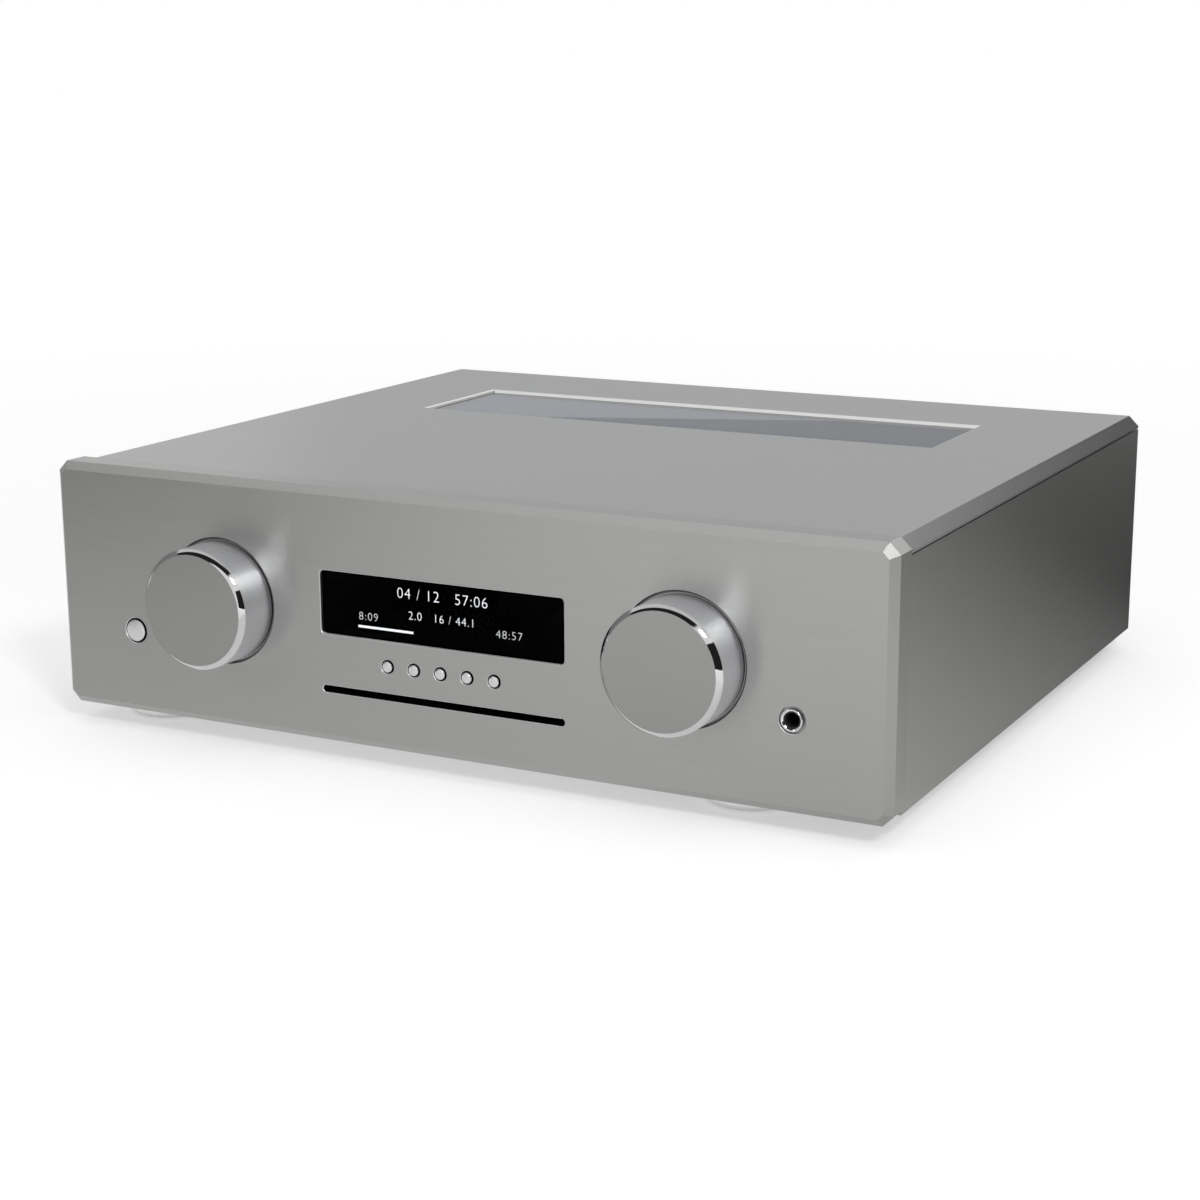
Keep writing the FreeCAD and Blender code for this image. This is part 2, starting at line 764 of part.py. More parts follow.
chassis = box(-half_drive, half_drive, drive_y0, drive_y1, floor_z0, wall_top_z)
chassis = chassis.cut(box(-half_drive + drive_sheet, half_drive - drive_sheet,
                          drive_y0, drive_y1 - drive_sheet, floor_z1, wall_top_z))
leg_xs = (-half_drive + 2 * leg_radius, half_drive - 2 * leg_radius)
leg_ys = (drive_y0 + 2 * leg_radius, drive_y1 - 2 * leg_radius)
extras = [rod_z(x, y, leg_radius, base_top_z, floor_z0) for x in leg_xs for y in leg_ys]
traverse_post_xs = (-traverse_half + 2 * traverse_post_radius, traverse_half - 2 * traverse_post_radius)
traverse_post_ys = (traverse_y0 + 2 * traverse_post_radius, traverse_y1 - 2 * traverse_post_radius)
extras += [rod_z(x, y, traverse_post_radius, floor_z1, traverse_z0) for x in traverse_post_xs
           for y in traverse_post_ys]
saddle = box(loader_motor_x0 + saddle_end_room, loader_motor_x1 - saddle_end_room,
             pinion_y - saddle_half, pinion_y + saddle_half, floor_z1, pinion_z - loader_motor_radius / 2)
motor_can = rod_x(pinion_y, pinion_z, loader_motor_radius, loader_motor_x0, loader_motor_x1)
extras.append(saddle.cut(motor_can))
chassis = fuse(chassis, *extras)
chassis = chassis.cut(rod_x(roller_y, roller_z, roller_shaft_radius + running_gap, -half_drive, half_drive))
save("drive_chassis", chassis)

# Drive cover: a flat sheet on the chassis walls with the hole that the clamp hangs in
cover_z1 = wall_top_z + drive_cover_thick
clamp_z0 = disc_low_z + disc_raise + disc_thick + stop_gap
drive_cover = box(-half_drive, half_drive, drive_y0, drive_y1, wall_top_z, cover_z1)
drive_cover = drive_cover.cut(rod_z(0, disc_y, clamp_radius + clamp_gap, wall_top_z, cover_z1))
save("drive_cover", drive_cover)

flange_z = cover_z1 + stop_gap
clamp = fuse(rod_z(0, disc_y, clamp_radius, clamp_z0, flange_z),
             rod_z(0, disc_y, clamp_flange_radius, flange_z, flange_z + clamp_flange_thick))
hub_room_z = clamp_z0 + turntable_hub_height + clamp_gap
clamp = clamp.cut(rod_z(0, disc_y, disc_hole + clamp_gap, clamp_z0, hub_room_z))
save("disc_clamp", clamp)


# Gears of the loading train
def gear(teeth, y, z, phase, x0, x1):
    """A spur gear along X with an involute flank, and the middle of one tooth at angle phase."""
    pitch_r = gear_module * teeth / 2
    base_r = pitch_r * math.cos(pressure_angle)
    root_r = pitch_r - gear_dedendum * gear_module
    tip_r = pitch_r + gear_addendum * gear_module
    pitch_half = math.pi / (2 * teeth) - gear_backlash / (2 * pitch_r)
    pitch_inv = math.tan(pressure_angle) - pressure_angle
    first_r = max(base_r, root_r)
    radii = [first_r + (tip_r - first_r) * i / flank_steps for i in range(flank_steps + 1)]
    flank = []
    for r in radii:
        roll = math.acos(min(1.0, base_r / r))
        flank.append((r, pitch_half + pitch_inv - (math.tan(roll) - roll)))
    if root_r < first_r:
        flank.insert(0, (root_r, flank[0][1]))
    points = []
    for i in range(teeth):
        middle = phase + 2 * math.pi * i / teeth
        outline = [(r, middle - half) for r, half in flank]
        outline += [(r, middle + half) for r, half in reversed(flank)]
        points += [V(x0, y + r * math.cos(a), z + r * math.sin(a)) for r, a in outline]
    return Part.Face(Part.makePolygon(points + points[:1])).extrude(V(x1 - x0, 0, 0))


# Loading roller: rubber cones that touch the disc only near its rim, on a shaft with a moulded gear
mesh_angle = math.atan2(pinion_z - roller_z, pinion_y - roller_y)
half_rubber = disc_radius - roller_end_room
rubber = fuse(Part.makeCone(roller_waist, roller_radius, half_rubber, V(0, roller_y, roller_z), X_AXIS),
              Part.makeCone(roller_waist, roller_radius, half_rubber, V(0, roller_y, roller_z), X_AXIS * -1))
save("loading_roller", rubber.cut(rod_x(roller_y, roller_z, roller_shaft_radius, -half_rubber, half_rubber)))
roller_shaft = rod_x(roller_y, roller_z, roller_shaft_radius, -half_drive + sheet_gap, half_drive - sheet_gap)
save("roller_shaft", fuse(roller_shaft, gear(roller_teeth, roller_y, roller_z, mesh_angle, gear_x0, gear_x1)))
pinion_phase = mesh_angle + math.pi + math.pi / pinion_teeth
pinion = gear(pinion_teeth, pinion_y, pinion_z, pinion_phase, gear_x0, gear_x1)
stub = rod_x(pinion_y, pinion_z, spindle_radius, loader_motor_x1 - stub_length, gear_x0)
save("motor_pinion", fuse(pinion, stub))
save("loading_motor", motor_can.cut(rod_x(pinion_y, pinion_z, spindle_radius + running_gap,
                                          loader_motor_x1 - stub_length - stop_gap, loader_motor_x1)))

# Traverse: the frame that lifts the spindle and the laser up to the disc
rod_z0 = traverse_z1 + sled_float + sled_height / 2
screw_z = traverse_z1 + sled_motor_radius
rear_lug_y0 = sled_y1 + sled_travel + stop_gap
rear_lug_y1 = rear_lug_y0 + lug_thick
lug_top_z = rod_z0 + rail_rod_radius + lug_rise
sled_half = sled_width / 2
frame = box(-traverse_half, traverse_half, traverse_y0, traverse_y1, traverse_z0, traverse_z1)
frame = frame.cut(box(-traverse_window_half, traverse_window_half, lug_y1, rear_lug_y0,
                      traverse_z0, traverse_z1))
frame = fuse(frame, box(-sled_half, sled_half, lug_y0, lug_y1, traverse_z1, lug_top_z),
             box(-sled_half, traverse_half - lug_end_room, rear_lug_y0, rear_lug_y1, traverse_z1,
                 screw_z + screw_radius + lug_end_room))
frame = frame.cut([rod_z(0, disc_y, spindle_motor_radius, traverse_z0, traverse_z1),
                   rod_y(-rail_rod_spread, rod_z0, rail_rod_radius, lug_y0, rear_lug_y1),
                   rod_y(rail_rod_spread, rod_z0, rail_rod_radius, lug_y0, rear_lug_y1),
                   rod_y(screw_offset, screw_z, screw_radius + running_gap, lug_y0,
                         rear_lug_y1)])
save("traverse_frame", frame)
save("sled_rails", [rod_y(x, rod_z0, rail_rod_radius, lug_y0, rear_lug_y1)
                    for x in (-rail_rod_spread, rail_rod_spread)])

# Spindle motor, turntable, and the sled's screw and motor
motor_z0 = traverse_z0 - traverse_post_height + clamp_gap
motor_z1 = motor_z0 + spindle_motor_height
turntable_z1 = disc_low_z + disc_raise - traverse_lift
turntable_z0 = turntable_z1 - turntable_thick
spindle_motor = rod_z(0, disc_y, spindle_motor_radius, motor_z0, motor_z1)
save("spindle_motor", spindle_motor.cut(rod_z(0, disc_y, spindle_radius + running_gap,
                                              motor_z1 - stub_length, motor_z1)))
hub_z1 = turntable_z1 + turntable_hub_height
hub = rod_z(0, disc_y, disc_hole - hub_clear, turntable_z1, hub_z1)
hub_edge = [e for e in hub.Edges if e.BoundBox.ZMin > hub_z1 - edge_match]
turntable = fuse(rod_z(0, disc_y, turntable_radius, turntable_z0, turntable_z1),
                 hub.makeChamfer(hub_bevel, hub_edge),
                 rod_z(0, disc_y, spindle_radius, motor_z1 - stub_length + stop_gap, turntable_z0))
save("turntable", turntable)
sled_motor_y0 = disc_y - sled_motor_length / 2
sled_motor_y1 = sled_motor_y0 + sled_motor_length
sled_motor = rod_y(screw_offset, screw_z, sled_motor_radius, sled_motor_y0, sled_motor_y1)
save("sled_motor", sled_motor.cut(rod_y(screw_offset, screw_z, screw_radius + running_gap,
                                        sled_motor_y1 - stub_length, sled_motor_y1)))
save("lead_screw", rod_y(screw_offset, screw_z, screw_radius, sled_motor_y1 - stub_length + stop_gap,
                         rear_lug_y1))

# Laser sled: runs on the two rods, and its arm holds the nut on the lead screw
sled_z0 = traverse_z1 + sled_float
sled_mid_y = (sled_y0 + sled_y1) / 2
sled = box(-sled_half, sled_half, sled_y0, sled_y1, sled_z0, sled_z0 + sled_height)
arm = box(sled_half, screw_offset + screw_radius + arm_wall, sled_mid_y - arm_half, sled_mid_y + arm_half,
          sled_z0, screw_z + screw_radius + arm_roof)
lens = rod_z(0, sled_mid_y, lens_radius, sled_z0 + sled_height, sled_z0 + sled_height + lens_rise)
sled = fuse(sled, arm, lens)
sled = sled.cut([rod_y(x, rod_z0, rail_rod_radius + running_gap, sled_y0, sled_y1)
                 for x in (-rail_rod_spread, rail_rod_spread)])
sled = sled.cut(rod_y(screw_offset, screw_z, screw_radius + running_gap, sled_y0, sled_y1))
save("laser_sled", sled)

# Rear panel with its cut-outs
inlet_x = inlet_inset - half_front
inlet_z = plate_low_z + inlet_up
rocker_z = inlet_z + inlet_rocker_rise
post_z = plate_low_z + post_up
rca_zs = [plate_low_z + up for up in rca_ups]
rca_xs = [(i - (rca_columns - 1) / 2) * rca_pitch for i in range(rca_columns)]
post_xs = [x + side * post_spacing / 2 for x in post_pair_xs for side in (-1, 1)]
digital_top_z = rca_zs[0] - rca_body_radius
antenna_z = digital_top_z + antenna_body_radius
module_z0 = inlet_z - inlet_module_height / 2 + inlet_rocker_rise / 2
module_z1 = module_z0 + inlet_module_height
rear_panel = box(-half_inside + sheet_gap, half_inside - sheet_gap, rear_in_y, rear_out_y,
                 cabinet_low_z, lid_low_z)
cuts = [rod_y(x, post_z, post_shank_radius, rear_in_y, rear_out_y) for x in post_xs]
cuts += [rod_y(x, z, rca_body_radius, rear_in_y, rear_out_y) for x in rca_xs for z in rca_zs]
cuts.append(rod_y(antenna_x, antenna_z, antenna_body_radius, rear_in_y, rear_out_y))
cuts.append(box(inlet_x - inlet_body_width / 2, inlet_x + inlet_body_width / 2, rear_in_y, rear_out_y,
                module_z0 + inlet_flange_lip, module_z1 - inlet_flange_lip))
rear_panel = rear_panel.cut(cuts + screw_holes)
save("rear_panel", rear_panel)

# Binding posts: an insulating collar and shank, a metal stem with a plug bore, and a screwed cap
post_end_y = rear_y + post_reach
collar_end_y = rear_out_y + post_collar_thick
posts = []
for i, x in enumerate(post_xs):
    post = fuse(rod_y(x, post_z, post_collar_radius, rear_out_y, collar_end_y),
                rod_y(x, post_z, post_shank_radius, rear_in_y, rear_out_y),
                rod_y(x, post_z, post_cap_radius, rear_in_y - post_nut_thick, rear_in_y),
                rod_y(x, post_z, post_radius, collar_end_y, post_end_y))
    posts.append(post.cut(rod_y(x, post_z, post_bore_radius, post_end_y - post_bore_length, post_end_y)))
    cap_y0 = collar_end_y + stop_gap
    cap = rod_y(x, post_z, post_cap_radius, cap_y0, cap_y0 + post_cap_length)
    flutes = [rod_y(x + (post_cap_radius + flute_out) * math.cos(a), post_z + (post_cap_radius + flute_out)
                    * math.sin(a), flute_radius, cap_y0 + flute_start, cap_y0 + post_cap_length)
              for a in [2 * math.pi * k / flute_count for k in range(flute_count)]]
    cap = cap.cut(flutes + [rod_y(x, post_z, post_radius + running_gap, cap_y0, cap_y0 + post_cap_length)])
    save("post_cap_%d" % (i + 1), cap)
save("binding_posts", posts)

# Line sockets: a flange, an outer sleeve with the pin hole, and a body behind the panel
rca = []
for x in rca_xs:
    for z in rca_zs:
        socket = fuse(rod_y(x, z, rca_radius, rear_out_y + rca_flange, rear_out_y + rca_length),
                      rod_y(x, z, rca_body_radius + rca_flange, rear_out_y, rear_out_y + rca_flange),
                      rod_y(x, z, rca_body_radius, rear_in_y - rca_body_length, rear_out_y))
        rca.append(socket.cut(rod_y(x, z, rca_pin_radius, rear_out_y, rear_out_y + rca_length)))
save("line_sockets", rca)

antenna = fuse(rod_y(antenna_x, antenna_z, antenna_radius, rear_out_y, rear_out_y + rca_length),
               rod_y(antenna_x, antenna_z, antenna_body_radius, rear_in_y - rca_body_length, rear_out_y))
groove_y0 = rear_out_y + antenna_wall
groove_y1 = rear_out_y + rca_length
groove = rod_y(antenna_x, antenna_z, antenna_radius - antenna_wall, groove_y0, groove_y1)
groove = groove.cut(rod_y(antenna_x, antenna_z, rca_pin_radius, groove_y0, groove_y1))
save("antenna_socket", antenna.cut(groove))

# Mains inlet: one moulding with the plug cavity, its three blades, and the well of the rocker
flange_y = rear_out_y + inlet_flange_thick
inlet = fuse(box(inlet_x - inlet_flange_width / 2, inlet_x + inlet_flange_width / 2, rear_out_y, flange_y,
                 module_z0, module_z1),
             box(inlet_x - inlet_body_width / 2, inlet_x + inlet_body_width / 2,
                 rear_out_y - inlet_body_length, rear_out_y,
                 module_z0 + inlet_flange_lip, module_z1 - inlet_flange_lip))
cavity_y = flange_y - plug_depth
inlet = inlet.cut(box(inlet_x - plug_width / 2, inlet_x + plug_width / 2, cavity_y, flange_y,
                      inlet_z - plug_height / 2, inlet_z + plug_height / 2))
rocker_y = flange_y - rocker_sink
pivot_half = rocker_width / 2 + pivot_length
inlet = inlet.cut([box(inlet_x - rocker_width / 2 - stop_gap, inlet_x + rocker_width / 2 + stop_gap,
                       rocker_y - rocker_well_depth, flange_y,
                       rocker_z - rocker_well_height / 2, rocker_z + rocker_well_height / 2),
                   rod_x(rocker_y, rocker_z, pivot_radius + running_gap,
                         inlet_x - pivot_half - stop_gap, inlet_x + pivot_half + stop_gap)])
blades = [box(inlet_x + dx - blade_thick / 2, inlet_x + dx + blade_thick / 2, cavity_y,
              cavity_y + blade_length, inlet_z + dz - blade_width / 2, inlet_z + dz + blade_width / 2)
          for dx, dz in ((-blade_spread, blade_low), (blade_spread, blade_low), (0, blade_earth_rise))]
save("mains_inlet", fuse(inlet, *blades))

# Mains rocker: tilts about its own pins, drawn in the off position
half_rocker = rocker_well_height / 2 - 2 * stop_gap - rocker_tip_room
profile = [(-rocker_depth, -half_rocker), (rocker_ear, -half_rocker), (rocker_dip, 0),
           (rocker_ear, half_rocker), (-rocker_depth, half_rocker)]
points = [V(inlet_x - rocker_width / 2, rocker_y + dy, rocker_z + dz) for dy, dz in profile]
rocker = Part.Face(Part.makePolygon(points + points[:1])).extrude(V(rocker_width, 0, 0))
rocker = fuse(rocker, rod_x(rocker_y, rocker_z, pivot_radius, inlet_x - pivot_half, inlet_x + pivot_half))
rocker.rotate(V(inlet_x, rocker_y, rocker_z), X_AXIS, rocker_tilt)
save("mains_rocker", rocker)

# Toroidal transformer, midway between the drive and the left rail
toroid_x = -(half_drive + rail_in_x) / 2
toroid_y = inner_back_y + toroid_front_room + toroid_radius
toroid = rod_z(toroid_x, toroid_y, toroid_radius, base_top_z, base_top_z + toroid_height)
outer = [e for e in toroid.Edges if e.Length > 2 * math.pi * toroid_radius * along]
toroid = toroid.makeFillet(toroid_round, outer)
toroid = toroid.cut(rod_z(toroid_x, toroid_y, toroid_hole, base_top_z, base_top_z + toroid_height))
save("toroid_transformer", toroid)

# Circuit boards on hexagonal spacers
board_z0 = base_top_z + board_lift
board_z1 = board_z0 + board_thick
spacers = []


def board(x0, x1, y0, y1, z0):
    """A board resting on four spacers set in from its corners."""
    for x in (x0 + spacer_inset, x1 - spacer_inset):
        for y in (y0 + spacer_inset, y1 - spacer_inset):
            points = [V(x + spacer_radius * math.cos(a), y + spacer_radius * math.sin(a), base_top_z)
                      for a in [math.pi * k / 3 for k in range(6)]]
            spacer = Part.Face(Part.makePolygon(points + points[:1])).extrude(V(0, 0, z0 - base_top_z))
            spacers.append(spacer)
    return box(x0, x1, y0, y1, z0, z0 + board_thick)


power_y0 = inner_back_y + power_setback
power_x1 = rail_in_x - power_side_room
capacitor_pitch = 2 * capacitor_radius + capacitor_gap
blocks_width = block_inset + bridge_width + bridge_room
power_x0 = power_x1 - power_edge_room - capacitor_pitch - 2 * capacitor_radius - blocks_width
block_x = power_x0 + block_inset
power_board = board(power_x0, power_x1, power_y0, power_y0 + power_length, board_z0)
relay = box(block_x, block_x + relay_width, power_y0 + block_inset, power_y0 + block_inset + relay_length,
            board_z1, board_z1 + relay_height)
bridge_y = power_y0 + bridge_offset
bridge = box(block_x, block_x + bridge_width, bridge_y, bridge_y + bridge_length,
             board_z1, board_z1 + bridge_height)
save("power_board", fuse(power_board, relay, bridge))
last_x = power_x1 - power_edge_room - capacitor_radius
mid_y = power_y0 + power_length / 2
capacitor_xs = (last_x - capacitor_pitch, last_x)
capacitor_ys = (mid_y - capacitor_pitch / 2, mid_y + capacitor_pitch / 2)
save("reservoir_capacitors", [rod_z(x, y, capacitor_radius, board_z1, board_z1 + capacitor_height)
                              for x in capacitor_xs for y in capacitor_ys])

amp_boards = []
heatsinks = []
heatsink_top_z = lid_low_z - heatsink_top_room
for side in (-1, 1):
    x0, x1 = sorted((side * amp_in_x, side * amp_out_x))
    amp = board(x0, x1, amp_y0, amp_y1, board_z0)
    filter_x = side * (amp_in_x + coil_inset)
    coils = [rod_z(filter_x, amp_y0 + amp_length * share, coil_radius, board_z1, board_z1 + coil_height)
             for share in coil_shares]
    amp_boards.append(fuse(amp, *coils))
    wall_x = side * rail_in_x
    back_x = side * (rail_in_x - heatsink_base)
    tip_x = side * (amp_out_x + heatsink_clear)
    x0, x1 = sorted((wall_x, back_x))
    plate = box(x0, x1, amp_y0, amp_y1, base_top_z, heatsink_top_z)
    x0, x1 = sorted((back_x, tip_x))
    fins = []
    for k in range(fin_count):
        y = amp_y0 + k * (amp_length - fin_thick) / (fin_count - 1)
        fins.append(box(x0, x1, y, y + fin_thick, base_top_z, heatsink_top_z))
    heatsinks.append(fuse(plate, *fins))
save("amplifier_boards", amp_boards)
save("heatsinks", heatsinks)

# Valve stage under the lid window
tube_board_z = (glass_low_z - tube_top_room - tube_tip_height - tube_height
                - tube_socket_height - board_thick)
tube_y = (window_y0 + window_y1) / 2
tube_board = board(-tube_board_width / 2, tube_board_width / 2, tube_y - tube_board_depth / 2,
                   tube_y + tube_board_depth / 2, tube_board_z)
socket_z0 = tube_board_z + board_thick
socket_z1 = socket_z0 + tube_socket_height
bases = [rod_z(x, tube_y, tube_radius + tube_socket_wall, socket_z0, socket_z1) for x in (-tube_x, tube_x)]
save("tube_board", fuse(tube_board, *bases))
tubes = []
for x in (-tube_x, tube_x):
    envelope = rod_z(x, tube_y, tube_radius, socket_z1, socket_z1 + tube_height)
    top_edge = [e for e in envelope.Edges if e.BoundBox.ZMin > socket_z1 + tube_height - edge_match]
    tubes.append(fuse(envelope.makeFillet(tube_round, top_edge),
                      rod_z(x, tube_y, tube_tip_radius, socket_z1 + tube_height - tube_tip_root,
                            socket_z1 + tube_height + tube_tip_height)))
save("tubes", tubes)

# Signal board under the line sockets
digital_y0 = rear_in_y - digital_depth
chip_y = digital_y0 + chip_inset
digital = board(rca_xs[0] - rca_pitch, antenna_x + rca_pitch, digital_y0, rear_in_y - board_edge_room,
                digital_top_z - board_thick)
chip = box(-chip_size / 2, chip_size / 2, chip_y, chip_y + chip_size,
           digital_top_z, digital_top_z + chip_height)
save("digital_board", fuse(digital, chip))
save("board_spacers", spacers)
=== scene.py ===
import json
import math

import bmesh
import bpy
from mathutils import Matrix, Vector


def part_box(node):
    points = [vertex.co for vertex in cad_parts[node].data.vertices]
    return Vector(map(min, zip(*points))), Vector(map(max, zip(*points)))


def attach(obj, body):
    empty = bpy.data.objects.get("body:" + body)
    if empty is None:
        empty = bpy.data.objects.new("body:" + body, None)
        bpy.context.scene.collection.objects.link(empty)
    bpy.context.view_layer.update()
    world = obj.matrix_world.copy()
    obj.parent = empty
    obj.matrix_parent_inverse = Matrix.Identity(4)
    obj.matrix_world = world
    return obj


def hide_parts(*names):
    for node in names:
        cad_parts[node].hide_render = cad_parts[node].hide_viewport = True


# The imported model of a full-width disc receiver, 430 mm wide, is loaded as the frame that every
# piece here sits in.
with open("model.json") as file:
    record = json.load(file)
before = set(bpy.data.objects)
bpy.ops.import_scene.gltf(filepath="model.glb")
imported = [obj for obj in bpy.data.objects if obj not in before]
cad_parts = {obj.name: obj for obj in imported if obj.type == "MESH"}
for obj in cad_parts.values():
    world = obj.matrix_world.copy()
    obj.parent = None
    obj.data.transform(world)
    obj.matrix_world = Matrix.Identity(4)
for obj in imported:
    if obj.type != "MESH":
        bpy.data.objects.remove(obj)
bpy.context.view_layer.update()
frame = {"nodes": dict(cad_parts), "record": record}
nodes = frame["nodes"]
MM = 0.001

# Camera
# The view is from the front right and a little above, with a long lens, level in the room.
# Place and turn were fitted to the plate's corners, the display, the knobs and the window.
camera_place = Vector((0.52868, -1.04048, 0.32626))
camera_yaw = 0.48170
camera_pitch = 0.236865
camera_roll = -0.004308
camera = bpy.data.objects.new("camera", bpy.data.cameras.new("camera"))
camera.data.sensor_width = 36.0
camera.data.lens = 69.80
camera.data.clip_start = 0.01
camera.data.clip_end = 100.0
ahead = Vector((-math.sin(camera_yaw) * math.cos(camera_pitch),
                math.cos(camera_yaw) * math.cos(camera_pitch), -math.sin(camera_pitch)))
right = Vector((math.cos(camera_yaw), math.sin(camera_yaw), 0))
up = right.cross(ahead)
turned_right = right * math.cos(camera_roll) + up * math.sin(camera_roll)
turned_up = up * math.cos(camera_roll) - right * math.sin(camera_roll)
camera.matrix_world = Matrix.Translation(camera_place) @ Matrix(
    (turned_right, turned_up, -ahead)).transposed().to_4x4()
bpy.context.scene.collection.objects.link(camera)
bpy.context.scene.camera = camera


# Studio
# A pale floor in a white surround, a wide lamp overhead and a smaller, stronger one high at the front
# right, shaded from the lid. Boards from black to pale grey stand, lie and hang outside the view, for
# the bare metal and glass to reflect.
def new_material(name):
    """A material with its node tree and its shader."""
    material = bpy.data.materials.new(name)
    material.use_nodes = True
    return material, material.node_tree, material.node_tree.nodes["Principled BSDF"]


def maths(tree, operation, first, second=None):
    """One step of arithmetic on a pattern's value; second may be a number, another value or nothing."""
    step = tree.nodes.new("ShaderNodeMath")
    step.operation = operation
    tree.links.new(first, step.inputs[0])
    if isinstance(second, (int, float)):
        step.inputs[1].default_value = second
    elif second is not None:
        tree.links.new(second, step.inputs[1])
    return step.outputs[0]


def axes_of(tree, vector):
    """The three numbers of a vector, by axis."""
    parts = tree.nodes.new("ShaderNodeSeparateXYZ")
    tree.links.new(vector, parts.inputs[0])
    return parts.outputs


def length_of(tree, vector):
    """A vector's length."""
    step = tree.nodes.new("ShaderNodeVectorMath")
    step.operation = "LENGTH"
    tree.links.new(vector, step.inputs[0])
    return step.outputs["Value"]


def white_to_eye(tree):
    """1 for rays that show the surround itself: to the eye, in a reflection or through glass."""
    path = tree.nodes.new("ShaderNodeLightPath")
    seen = maths(tree, "MAXIMUM", path.outputs["Is Camera Ray"], path.outputs["Is Glossy Ray"])
    return maths(tree, "MAXIMUM", seen, path.outputs["Is Transmission Ray"])


def range_of(tree, value, low, high, from_low=0.0, from_high=1.0):
    """A pattern's value carried over to another range."""
    spread = tree.nodes.new("ShaderNodeMapRange")
    spread.inputs["From Min"].default_value = from_low
    spread.inputs["From Max"].default_value = from_high
    spread.inputs["To Min"].default_value = low
    spread.inputs["To Max"].default_value = high
    tree.links.new(value, spread.inputs["Value"])
    return spread.outputs["Result"]


world = bpy.data.worlds.new("surround")
world.use_nodes = True
surround = world.node_tree.nodes["Background"]
surround.inputs["Color"].default_value = (1.0, 1.0, 1.0, 1)
world.node_tree.links.new(range_of(world.node_tree, white_to_eye(world.node_tree), 0.55, 1.0),
                          surround.inputs["Strength"])
bpy.context.scene.world = world
bpy.context.scene.view_settings.view_transform = "Standard"

bm = bmesh.new()
bmesh.ops.create_grid(bm, x_segments=8, y_segments=8, size=9.0)
mesh = bpy.data.meshes.new("floor")
bm.to_mesh(mesh)
bm.free()
floor = bpy.data.objects.new("floor", mesh)
bpy.context.scene.collection.objects.link(floor)
floor_paint, tree, shader = new_material("pale_floor")
shader.inputs["Base Color"].default_value = (0.6, 0.6, 0.6, 1)
shader.inputs["Roughness"].default_value = 0.9
shader.inputs["Specular IOR Level"].default_value = 0.0
shader.inputs["Emission Color"].default_value = (1, 1, 1, 1)
coords = tree.nodes.new("ShaderNodeTexCoord")
glow = range_of(tree, length_of(tree, coords.outputs["Object"]), 0.45, 0.72, 0.5, 2.6)
tree.links.new(maths(tree, "MULTIPLY", glow, white_to_eye(tree)), shader.inputs["Emission Strength"])
mesh.materials.append(floor_paint)


def lamp(name, place, aim, width, watts):
    """A square soft lamp turned to face a point."""
    light = bpy.data.lights.new(name, "AREA")
    light.size = width
    light.energy = watts
    stand = bpy.data.objects.new(name, light)
    stand.location = place
    stand.rotation_euler = (Vector(aim) - Vector(place)).to_track_quat("-Z", "Y").to_euler()
    bpy.context.scene.collection.objects.link(stand)
    return stand


lamp("overhead", (0.1, -0.2, 2.2), (0, 0, 0), 2.0, 12).visible_glossy = False
key_lamp = lamp("key", (1.30, -1.35, 1.48), (0, -0.1, 0.06), 0.35, 19.5)

# From behind, the brushed lid would mirror the key lamp as one burnt-out patch.
shaded = bpy.data.collections.new("shaded_from_key")
shaded.objects.link(nodes["top_cover"])
shaded.collection_objects[0].light_linking.link_state = "EXCLUDE"
key_lamp.light_linking.receiver_collection = shaded


def mirrored_board(name, middle, across, upward, tone, soft, tint=(1, 1, 1)):
    """A board that only reflections see; its tone goes from 0, black, to 1, white. Across and upward
    are half its sides, and soft is the share of each over which the board fades out."""
    across, upward = Vector(across), Vector(upward)
    board_bm = bmesh.new()
    bmesh.ops.create_grid(board_bm, x_segments=1, y_segments=1, size=1.0)
    flat = bpy.data.meshes.new(name)
    board_bm.to_mesh(flat)
    board_bm.free()
    board = bpy.data.objects.new(name, flat)
    board.matrix_world = Matrix.Translation(middle) @ Matrix(
        (across, upward, across.cross(upward).normalized())).transposed().to_4x4()
    bpy.context.scene.collection.objects.link(board)
    paint, board_tree, board_shader = new_material(name)
    board_shader.inputs["Base Color"].default_value = (0, 0, 0, 1)
    board_shader.inputs["Specular IOR Level"].default_value = 0.0
    board_shader.inputs["Emission Color"].default_value = (*tint, 1)
    board_shader.inputs["Emission Strength"].default_value = tone
    if any(soft):
        own = board_tree.nodes.new("ShaderNodeTexCoord")
        parts = axes_of(board_tree, own.outputs["Object"])
        fades = [range_of(board_tree, maths(board_tree, "ABSOLUTE", parts[axis]), 1.0, 0.0,
                          0.999 - share, 1.0) for axis, share in zip("XY", soft)]
        board_tree.links.new(maths(board_tree, "MULTIPLY", *fades), board_shader.inputs["Alpha"])
    flat.materials.append(paint)
    board.visible_camera = False
    board.visible_shadow = False
    board.visible_diffuse = False
    board.visible_transmission = False


mirrored_board("board_above", (-1.15, -0.98, 1.6), (2.1, -0.47, 0), (0, 0.42, 0), 0.02, (0.08, 0.2))
mirrored_board("board_ceiling", (-0.6, 0.3, 2.0), (3.4, 0, 0), (0, 1.4, 0), 0.76, (0.2, 0.2))
mirrored_board("board_left", (-1.7, -0.2, 0.63), (0, 0.75, 0), (0, 0, 0.63), 0.25, (0.3, 0.3))
mirrored_board("board_right", (1.0, -0.86, 0.33), (0.05, 0.60, 0), (0, 0, 0.34), 0.02, (0.06, 0.08))
mirrored_board("board_front_left", (-1.25, -1.25, 0.2), (0.5, -0.45, 0), (0, 0, 0.26), 0.16, (0.6, 0.5))
mirrored_board("board_floor_left", (-0.96, -0.85, 0.004), (0.72, -0.1, 0), (0, 0.6, 0), 0.12, (0.6, 0.6))
